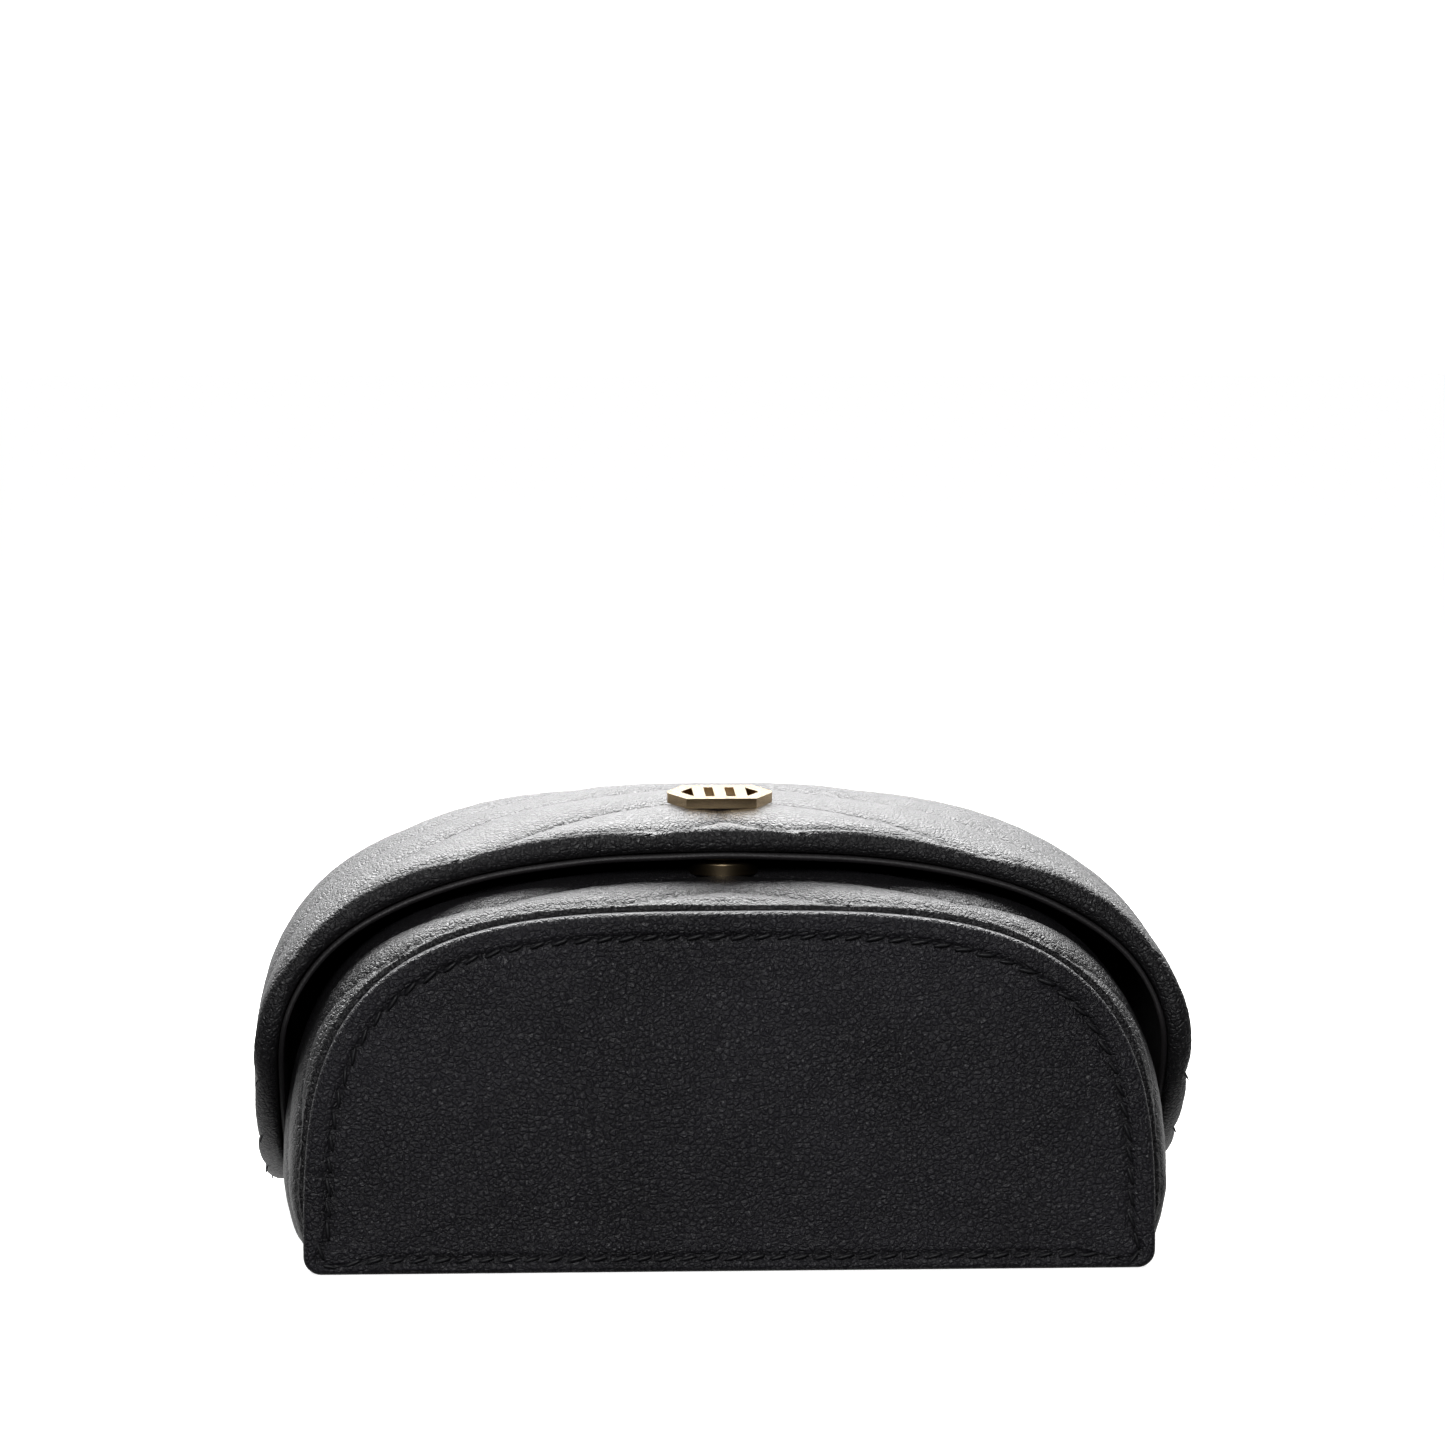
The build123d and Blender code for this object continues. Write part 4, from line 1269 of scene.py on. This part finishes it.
def closed_sheet(name: str, outer: Array, inner: Array, material: bpy.types.Material) -> bpy.types.Object:
    """A thin closed shell between two grids of points."""
    count = outer.shape[0] * outer.shape[1]
    index = np.arange(count).reshape(outer.shape[:2])
    under = index + count
    faces = [grid_faces(index), grid_faces(under, flip=True)]
    loop = np.concatenate([index[0], index[1:, -1], index[-1, -2::-1], index[-2:0:-1, 0]])
    after = np.roll(loop, -1)
    faces.append(np.stack([loop, loop + count, after + count, after], 1))
    vertices = np.concatenate([outer.reshape(-1, 3), inner.reshape(-1, 3)])
    obj = make_object(name, vertices, np.concatenate(faces), material)
    tidy_mesh(obj)
    return obj


# ---------------------------------------------------------------- base
@dataclass
class Base:
    """The D-shaped base: a smooth leather panel inside a rolled rim, sewn together."""

    sizes: Sizes
    power: float = 3.4
    corner: float = 3.0
    seam_in: float = 4.1
    bottom_seam_in: float = 2.4
    stitch: float = 3.75
    roll: float = 1.3
    panel_in: float = 8.0

    def outline(self, steps: int = 620) -> Array:
        """The outline as rows of x and z, from the lower left corner over the top and back along the bottom."""
        z = self.sizes
        quarter = superellipse(z.rim_half, z.rim_depth, self.power, 400)
        arch = mirrored(quarter)
        arch = arch[arch[:, 1] > self.corner]
        right = np.array([arch[-1, 0] - self.corner, self.corner])
        turn = np.linspace(0.0, -math.pi / 2, 14)
        right_corner = right + self.corner * np.stack([np.cos(turn), np.sin(turn)], 1)
        left_corner = right_corner[::-1] * np.array([-1.0, 1.0])
        bottom = np.linspace(right_corner[-1], left_corner[0], 200)[1:-1]
        loop = np.concatenate([arch, right_corner, bottom, left_corner])
        loop = np.concatenate([loop, loop[:1]])
        return spaced(loop, np.linspace(0.0, 1.0, steps + 1))[:-1]

    def build(self, finishes: Finishes) -> None:
        """Makes the panel, its rim and the stitches between them."""
        z = self.sizes
        loop = self.outline()
        middle = np.array([0.0, 26.0])
        tangent = np.roll(loop, -1, axis=0) - np.roll(loop, 1, axis=0)
        tangent /= np.linalg.norm(tangent, axis=1, keepdims=True)
        outward = np.stack([-tangent[:, 1], tangent[:, 0]], 1)
        outward *= np.sign((outward * (loop - middle)).sum(1).mean())
        reach = ((loop - middle) * outward).sum(1)
        low_part = ease(loop[:, 1], 6.0, 1.5)
        seam = self.seam_in + (self.bottom_seam_in - self.seam_in) * low_part
        rolled = self.roll * (1 - np.cos(np.linspace(0, math.pi / 2, 8)))
        depths = np.concatenate([rolled, np.arange(1.5, self.panel_in, 0.22)])
        rows, tops, painted_light_levels = [], [], []
        broad, wander = Ripple(40.0, 51), Ripple(3.0, 52)
        flow = np.cumsum(np.linalg.norm(np.roll(loop, -1, axis=0) - loop, axis=1))
        for depth in depths:
            ring = loop - (loop - middle) * (depth / reach)[:, None]
            rows.append(ring)
            tops.append(self.profile(depth, seam, flow, ring, wander))
            # Painted shade in the stitch groove: the level is 0 in the groove and 1 away from it, where the
            # finish lightens as painted sheen.
            painted_light_levels.append(ease(np.abs(depth - seam), 0.0, 1.6))
        inner = 1 - (depths[-1] / reach)[:, None]
        for share in np.linspace(1.0, 0.0, 26)[1:]:
            ring = middle + (loop - middle) * inner * share
            rows.append(ring)
            crown = 0.35 * (1 - share**2)
            points = np.stack([ring[:, 0], ring[:, 1], 0 * ring[:, 0]], 1)
            level = self.profile(self.panel_in, seam, flow, ring, wander)
            tops.append(level + crown + 0.10 * broad(points) * (1 - share**4))
            # The inner panel gets a fixed level of 0.8 of painted sheen.
            painted_light_levels.append(np.full(len(loop), 0.8))
        plane = np.stack(rows)
        top = np.stack(tops)
        grid = np.stack([plane[..., 0], z.base_y + 1.0 - top, plane[..., 1]], axis=-1)
        back = grid[0].copy()
        back[:, 1] = z.base_y + z.rim_top + 0.3
        grid = np.concatenate([back[None], grid])
        # The rim's back row gets level 0, painted shade where the rim turns back.
        crest = np.concatenate([np.zeros((1, len(loop))), np.stack(painted_light_levels)])
        grid = np.concatenate([grid, grid[:, :1]], axis=1)
        crest = np.concatenate([crest, crest[:, :1]], axis=1)
        index = np.arange(crest.size).reshape(crest.shape)
        obj = make_object("base_panel", grid.reshape(-1, 3), grid_faces(index), finishes.base, crest)
        tidy_mesh(obj)
        settle(obj, Body.CASE, "black_lambskin", "base_leather", "base_rim")
        path = loop - (loop - middle) * (seam / reach)[:, None]
        line = np.stack([path[:, 0], np.full(len(path), z.base_y + 0.28), path[:, 1]], 1)
        normal = np.tile(np.array([0.0, -1.0, 0.0]), (len(path), 1))
        thread = StitchRow(finishes.thread, pitch_mm=self.stitch, length_mm=3.3, radius_mm=0.38,
                           slant_deg=15.0, seed=23)
        settle(thread.make("base_stitches", [line], [normal], closed=True), Body.CASE, "black_lambskin")

    def profile(self, depth: float, seam: Array, flow: Array, ring: Array, wander: Ripple) -> Array:
        """How far the leather stands out at a distance inside the edge, with the rim's gathers."""
        roll = float(np.clip(depth / self.roll, 0.0, 1.0))
        rim = math.sqrt(max(0.0, 1 - (1 - roll) ** 2))
        gap = np.abs(depth - seam)
        groove = 0.62 * np.exp(-((gap / 0.75) ** 2))
        outside = (depth < seam).astype(float)
        points = np.stack([ring[:, 0], ring[:, 1], 0 * ring[:, 0]], 1)
        gathers = np.sin(2 * math.pi * flow / 1.35 + 2.2 * wander(points * 0.3))
        ruffle = outside * 0.07 * gathers * ease(ring[:, 1], 20.0, 45.0) * roll
        pucker = 0.07 * np.exp(-gap / 1.2) * np.sin(2 * math.pi * flow / self.stitch)
        step = -0.35 * ease(depth - seam, -0.2, 0.9)
        return rim + step - groove + ruffle + pucker + 0.03 * wander(points)


# ---------------------------------------------------------------- back and hinge
@dataclass
class Back:
    """One sheet of leather that covers the back, folds at the hinge and is sewn to the hood's cap."""

    sizes: Sizes
    corner: float = 24.0
    thick: float = 1.05
    fold: float = 1.2
    edge_in: float = 3.2
    flange_corner: float = 4.0
    end_y: float = 50.9
    stitch_in: float = 2.2
    stitch_corner: float = 2.5
    stitch_low: float = 4.0
    flat_rows: int = 200
    rise_rows: int = 33

    def half_at(self, y: Array, z: Array) -> Array:
        """Half width of the sheet along its path."""
        s = self.sizes
        half = s.back_half - self.edge_in
        low = self.end_y - self.corner
        root = np.sqrt(np.clip(self.corner**2 - np.clip(y - low, 0.0, self.corner) ** 2, 0.0, None))
        body = np.where(y < self.end_y, half - self.corner + root, 0.0)
        body = body + 1.6 * np.sin(np.clip((y - s.base_y) / 84.0, 0.0, 1.0) * math.pi) * (y < low)
        wide = np.maximum(body, s.hinge_half)
        over = np.clip(z - (s.hinge_top - self.flange_corner), 0.0, self.flange_corner)
        return wide - self.flange_corner + np.sqrt(self.flange_corner**2 - over**2)

    def build(self, finishes: Finishes) -> None:
        """Makes the sheet and the stitches of its flange."""
        s = self.sizes
        flat = np.linspace(s.base_y + s.rim_top + 0.1, s.hinge_y - self.fold, self.flat_rows)
        turn = np.linspace(-math.pi / 2, 0.0, 14)[1:]
        rise = np.linspace(self.fold, s.hinge_top, self.rise_rows + 1)[1:]
        bend_y = s.hinge_y - self.fold + self.fold * np.cos(turn)
        y = np.concatenate([flat, bend_y, np.full(self.rise_rows, s.hinge_y)])
        z = np.concatenate([0 * flat, self.fold + self.fold * np.sin(turn), rise])
        inward = np.concatenate([np.tile([0.0, 1.0], (self.flat_rows, 1)),
                                 np.stack([-np.cos(turn), -np.sin(turn)], 1),
                                 np.tile([-1.0, 0.0], (self.rise_rows, 1))])
        u = np.linspace(-1.0, 1.0, 141)
        x = self.half_at(y, z)[:, None] * u[None, :]
        along, up = np.broadcast_to(y[:, None], x.shape), np.broadcast_to(z[:, None], x.shape)
        outer = np.stack([x, along, up], axis=-1)
        step = np.concatenate([np.zeros((len(y), 1)), inward], axis=1)[:, None, :]
        inner = outer + step * self.thick
        obj = closed_sheet("back_sheet", outer, inner, finishes.edge)
        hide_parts("back_leather", "hinge_strip")
        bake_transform(obj)
        path = np.concatenate([[0.0], np.cumsum(np.hypot(np.diff(y), np.diff(z)))])
        width = 2 * self.half_at(y, z)
        area = float(((width[1:] + width[:-1]) / 2 * np.diff(path)).sum())
        self.flange_stitches(finishes)

    def flange_stitches(self, finishes: Finishes) -> None:
        """Sews the flange to the cap along its two ends and its upper edge."""
        s = self.sizes
        half, top = s.hinge_half - self.stitch_in, s.hinge_top - self.stitch_in
        low, cut = self.stitch_low, self.stitch_corner
        path = np.array([[-half, s.hinge_y, low], [-half, s.hinge_y, top - cut],
                         [-half + cut, s.hinge_y, top],
                         [half - cut, s.hinge_y, top], [half, s.hinge_y, top - cut], [half, s.hinge_y, low]])
        line = spaced(path, np.linspace(0.0, 1.0, 300))
        normal = np.tile([0.0, 1.0, 0.0], (300, 1))
        thread = StitchRow(finishes.thread, pitch_mm=2.8, length_mm=2.2, radius_mm=0.2, slant_deg=8.0,
                           seed=24)
        settle(thread.make("hinge_stitches", [line], [normal]), Body.LID, "black_lambskin")


# ---------------------------------------------------------------- inside
@dataclass
class Inside:
    """The padded fittings of the well and the mirror in the hood."""

    sizes: Sizes
    frame: dict[str, Any]
    panel_corner: float = 22.9
    lump_wave: float = 11.0

    def build(self, finishes: Finishes) -> None:
        """Makes every soft fitting and the mirror's rolled frame."""
        for name, voxel, puff, fill in (("floor_pad", 0.75, 0.12, 0.5), ("divider", 0.75, 0.15, 0.6),
                                        ("ring_bed", 1.3, 0.2, 0.8), ("slip_pocket", 0.5, 0.06, 0.2)):
            self.soften(name, voxel, puff, finishes)
        for number in range(1, 5):
            self.soften(f"ring_roll_{number}", 0.8, 0.18, finishes)
        self.back_lining(finishes)
        self.mirror_frame(finishes)

    def soften(self, node: str, voxel_mm: float, puff_mm: float, finishes: Finishes) -> None:
        """Makes a soft copy of a frame node: remeshed, smoothed, and slightly lumpy.

        Args:
            node: the frame's node.
            voxel_mm: size of the remeshed faces.
            puff_mm: depth of the lumps.
            finishes: the finishes.
        """
        source = self.frame["nodes"][node]
        obj = bpy.data.objects.new(node + "_soft", source.data.copy())
        obj.matrix_world = source.matrix_world.copy()
        bpy.context.scene.collection.objects.link(obj)
        obj.data.transform(obj.matrix_world)
        obj.matrix_world.identity()
        tidy_mesh(obj, 0.01)
        remesh = obj.modifiers.new("remesh", "REMESH")
        remesh.mode = "VOXEL"
        remesh.voxel_size = voxel_mm * MM
        smooth = obj.modifiers.new("smooth", "SMOOTH")
        smooth.iterations = 4
        bpy.context.view_layer.update()
        ready = obj.evaluated_get(bpy.context.evaluated_depsgraph_get())
        mesh = bpy.data.meshes.new_from_object(ready)
        obj.modifiers.clear()
        obj.data = mesh
        count = len(mesh.vertices)
        place, normal = np.empty(count * 3), np.empty(count * 3)
        mesh.vertices.foreach_get("co", place)
        mesh.vertices.foreach_get("normal", normal)
        place, normal = place.reshape(-1, 3), normal.reshape(-1, 3)
        lumps = Ripple(self.lump_wave, 70 + len(node))(place / MM) - 1.0
        place += normal * (lumps * puff_mm * 0.5 * MM)[:, None]
        mesh.vertices.foreach_set("co", place.ravel())
        mesh.materials.clear()
        mesh.materials.append(finishes.suede)
        mesh.polygons.foreach_set("use_smooth", [True] * len(mesh.polygons))
        mesh.update()
        settle(obj, Body.CASE, "suede_lining", node)

    def back_lining(self, finishes: Finishes) -> None:
        """Makes the suede panel on the inside of the back."""
        low, high = box_mm("back_lining")
        corner = self.panel_corner
        y = np.linspace(low[1], high[1], 130)
        over = np.clip(y - (high[1] - corner), 0.0, corner)
        half = high[0] - corner + np.sqrt(corner**2 - over**2)
        x = half[:, None] * np.linspace(-1.0, 1.0, 161)[None, :]
        along = np.broadcast_to(y[:, None], x.shape)
        wave = 0.06 * Ripple(24.0, 81)(np.stack([x, along, 0 * x], axis=-1))
        top = np.stack([x, along, high[2] - 0.08 + wave], axis=-1)
        bottom = np.stack([x, along, np.full_like(x, low[2])], axis=-1)
        obj = closed_sheet("back_lining_suede", top, bottom, finishes.suede)
        settle(obj, Body.CASE, "suede_lining", "back_lining")

    def mirror_frame(self, finishes: Finishes) -> None:
        """Makes the rolled leather frame of the mirror."""
        low, high = box_mm("mirror_frame")
        inset, corner = 1.0, 5.0
        half, y = high[0] - inset, (low[1] + high[1]) / 2
        centres = ((half - corner, high[2] - inset - corner), (-half + corner, high[2] - inset - corner),
                   (-half + corner, low[2] + inset + corner), (half - corner, low[2] + inset + corner))
        points = []
        for quarter, (x, z) in enumerate(centres):
            for angle in np.linspace(quarter, quarter + 1, 12) * math.pi / 2:
                points.append((x + corner * math.cos(angle), y, z + corner * math.sin(angle)))
        points.append(points[0])
        line = spaced(np.array(points), np.linspace(0.0, 1.0, 500))
        roll = SewnRoll(finishes.edge, width_mm=1.9, height_mm=1.6, gather_mm=1.6, gather_depth_mm=0.1)
        out = np.tile([0.0, -1.0, 0.0], (500, 1))
        settle(roll.make("mirror_roll", line, out), Body.LID, "black_lambskin", "mirror_frame")


# ---------------------------------------------------------------- stage, light, camera
@dataclass
class Studio:
    """Pale floor, soft lights and the camera."""

    distance: float = 950.0
    elevation: float = 8.0
    azimuth: float = -3.0
    span: float = 240.0
    target_z: float = 40.0
    shift_x: float = -0.006
    shift_y: float = 0.2163

    def build(self, sizes: Sizes) -> None:
        """Makes the stage."""
        bpy.context.scene.view_settings.view_transform = "Standard"
        self.floor()
        self.world()
        self.light("key_left", (-300.0, 380.0, 520.0), 360.0, 3.6, (0.0, 0.0, 40.0))
        self.light("key_right", (320.0, 380.0, 520.0), 360.0, 3.2, (0.0, 0.0, 40.0))
        self.light("top_back", (0.0, 420.0, 560.0), 520.0, 9.0, (0.0, 0.0, 60.0))
        self.light("front_fill", (-120.0, -950.0, 520.0), 420.0, 5.6, (0.0, 0.0, 30.0))
        self.camera(sizes)

    def camera(self, sizes: Sizes) -> None:
        """Places the camera in front of the base."""
        data = bpy.data.cameras.new("camera")
        data.sensor_width = 36.0
        data.lens = 36.0 * self.distance / self.span
        data.shift_x, data.shift_y = self.shift_x, self.shift_y
        data.clip_end = 50.0
        camera = bpy.data.objects.new("camera", data)
        bpy.context.scene.collection.objects.link(camera)
        tilt = math.radians(self.elevation)
        target = Vector((0.0, sizes.base_y, self.target_z)) * MM
        turn = math.radians(self.azimuth)
        back = Vector((math.sin(turn) * math.cos(tilt), -math.cos(turn) * math.cos(tilt), math.sin(tilt)))
        camera.location = target + back * self.distance * MM
        camera.rotation_mode = "QUATERNION"
        camera.rotation_quaternion = (-back).to_track_quat("-Z", "Y")
        bpy.context.scene.camera = camera

    def floor(self) -> None:
        """Makes a wide pale floor."""
        size = 6000.0
        corners = np.array([[-size, -size, 0], [size, -size, 0], [size, size, 0], [-size, size, 0]], float)
        n = Nodes("pale_floor")
        n.surface.inputs["Emission Color"].default_value = (1.0, 1.0, 1.0, 1.0)
        n.surface.inputs["Emission Strength"].default_value = 0.8
        material = n.finish(Base_Color=(0.86, 0.86, 0.86), Roughness=0.9, Specular_IOR_Level=0.1)
        obj = make_object("floor", corners, [[0, 1, 2, 3]], material, smooth=False)
        obj.visible_glossy = False
        obj.visible_diffuse = False

    def world(self) -> None:
        """A pale surround, brighter behind the case than before it."""
        world = bpy.data.worlds.new("surround")
        bpy.context.scene.world = world
        world.use_nodes = True
        tree = world.node_tree
        tree.nodes.clear()
        place = tree.nodes.new("ShaderNodeTexCoord")
        split = tree.nodes.new("ShaderNodeSeparateXYZ")
        ramp = tree.nodes.new("ShaderNodeMapRange")
        ramp.interpolation_type = "SMOOTHSTEP"
        for index, value in ((1, 0.15), (2, 0.98), (3, 0.02), (4, 1.1)):
            ramp.inputs[index].default_value = value
        back = tree.nodes.new("ShaderNodeBackground")
        back.inputs["Color"].default_value = (1.0, 1.0, 1.0, 1.0)
        out = tree.nodes.new("ShaderNodeOutputWorld")
        tree.links.new(place.outputs["Generated"], split.inputs[0])
        tree.links.new(split.outputs["Y"], ramp.inputs[0])
        tree.links.new(ramp.outputs[0], back.inputs["Strength"])
        tree.links.new(back.outputs[0], out.inputs[0])

    def light(self, name: str, place: tuple[float, float, float], size: float, power: float,
              target: tuple[float, float, float]) -> None:
        """Makes one soft box."""
        data = bpy.data.lights.new(name, "AREA")
        data.shape = "DISK"
        data.size = size * MM
        data.energy = power
        lamp = bpy.data.objects.new(name, data)
        bpy.context.scene.collection.objects.link(lamp)
        lamp.location = Vector(place) * MM
        aim = (Vector(target) - Vector(place)).normalized()
        lamp.rotation_mode = "QUATERNION"
        lamp.rotation_quaternion = aim.to_track_quat("-Z", "Y")


# ---------------------------------------------------------------- frame nodes that stay
def dress_nodes(frame: dict[str, Any], finishes: Finishes) -> None:
    """Gives the frame's own nodes their finishes."""
    plan = {
        finishes.gold: ("ornament", "ornament_posts"),
        finishes.snap: ("snap_socket", "snap_stud"),
        finishes.steel: ("snap_magnet", "snap_socket_washer", "snap_stud_washer", "ornament_washers"),
        finishes.glass: ("mirror_glass",),
        finishes.board: ("base_board", "back_board", "wall_board", "lid_board", "lid_cap_board"),
        finishes.wadding: ("wall_padding", "lid_padding"),
        finishes.edge: ("mouth_binding", "lid_cap_piping", "mirror_frame", "back_leather", "hinge_strip"),
        finishes.suede: ("floor_pad", "wall_lining", "back_lining", "divider", "ring_bed", "ring_roll_1",
                         "ring_roll_2", "ring_roll_3", "ring_roll_4", "slip_pocket"),
    }
    for material, names in plan.items():
        for name in names:
            data = frame["nodes"][name].data
            data.materials.clear()
            data.materials.append(material)
    for name in ("ornament", "snap_socket", "snap_stud"):
        bevel = frame["nodes"][name].modifiers.new("soft_edges", "BEVEL")
        bevel.width = EDGE_BEVEL_MM * MM
        bevel.segments = 3
        bevel.limit_method = "ANGLE"


def main() -> None:
    """Builds the looks of the case in order."""
    logging.basicConfig(level=logging.INFO, format="%(name)s %(message)s")
    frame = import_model()
    finishes = Finishes()
    dress_nodes(frame, finishes)
    sizes = Sizes.from_frame()
    Studio().build(sizes)
    Base(sizes).build(finishes)
    Tub(sizes).build(finishes)
    Hood(sizes).build(finishes)
    Back(sizes).build(finishes)
    Inside(sizes, frame).build(finishes)


if __name__ == "__main__":
    main()
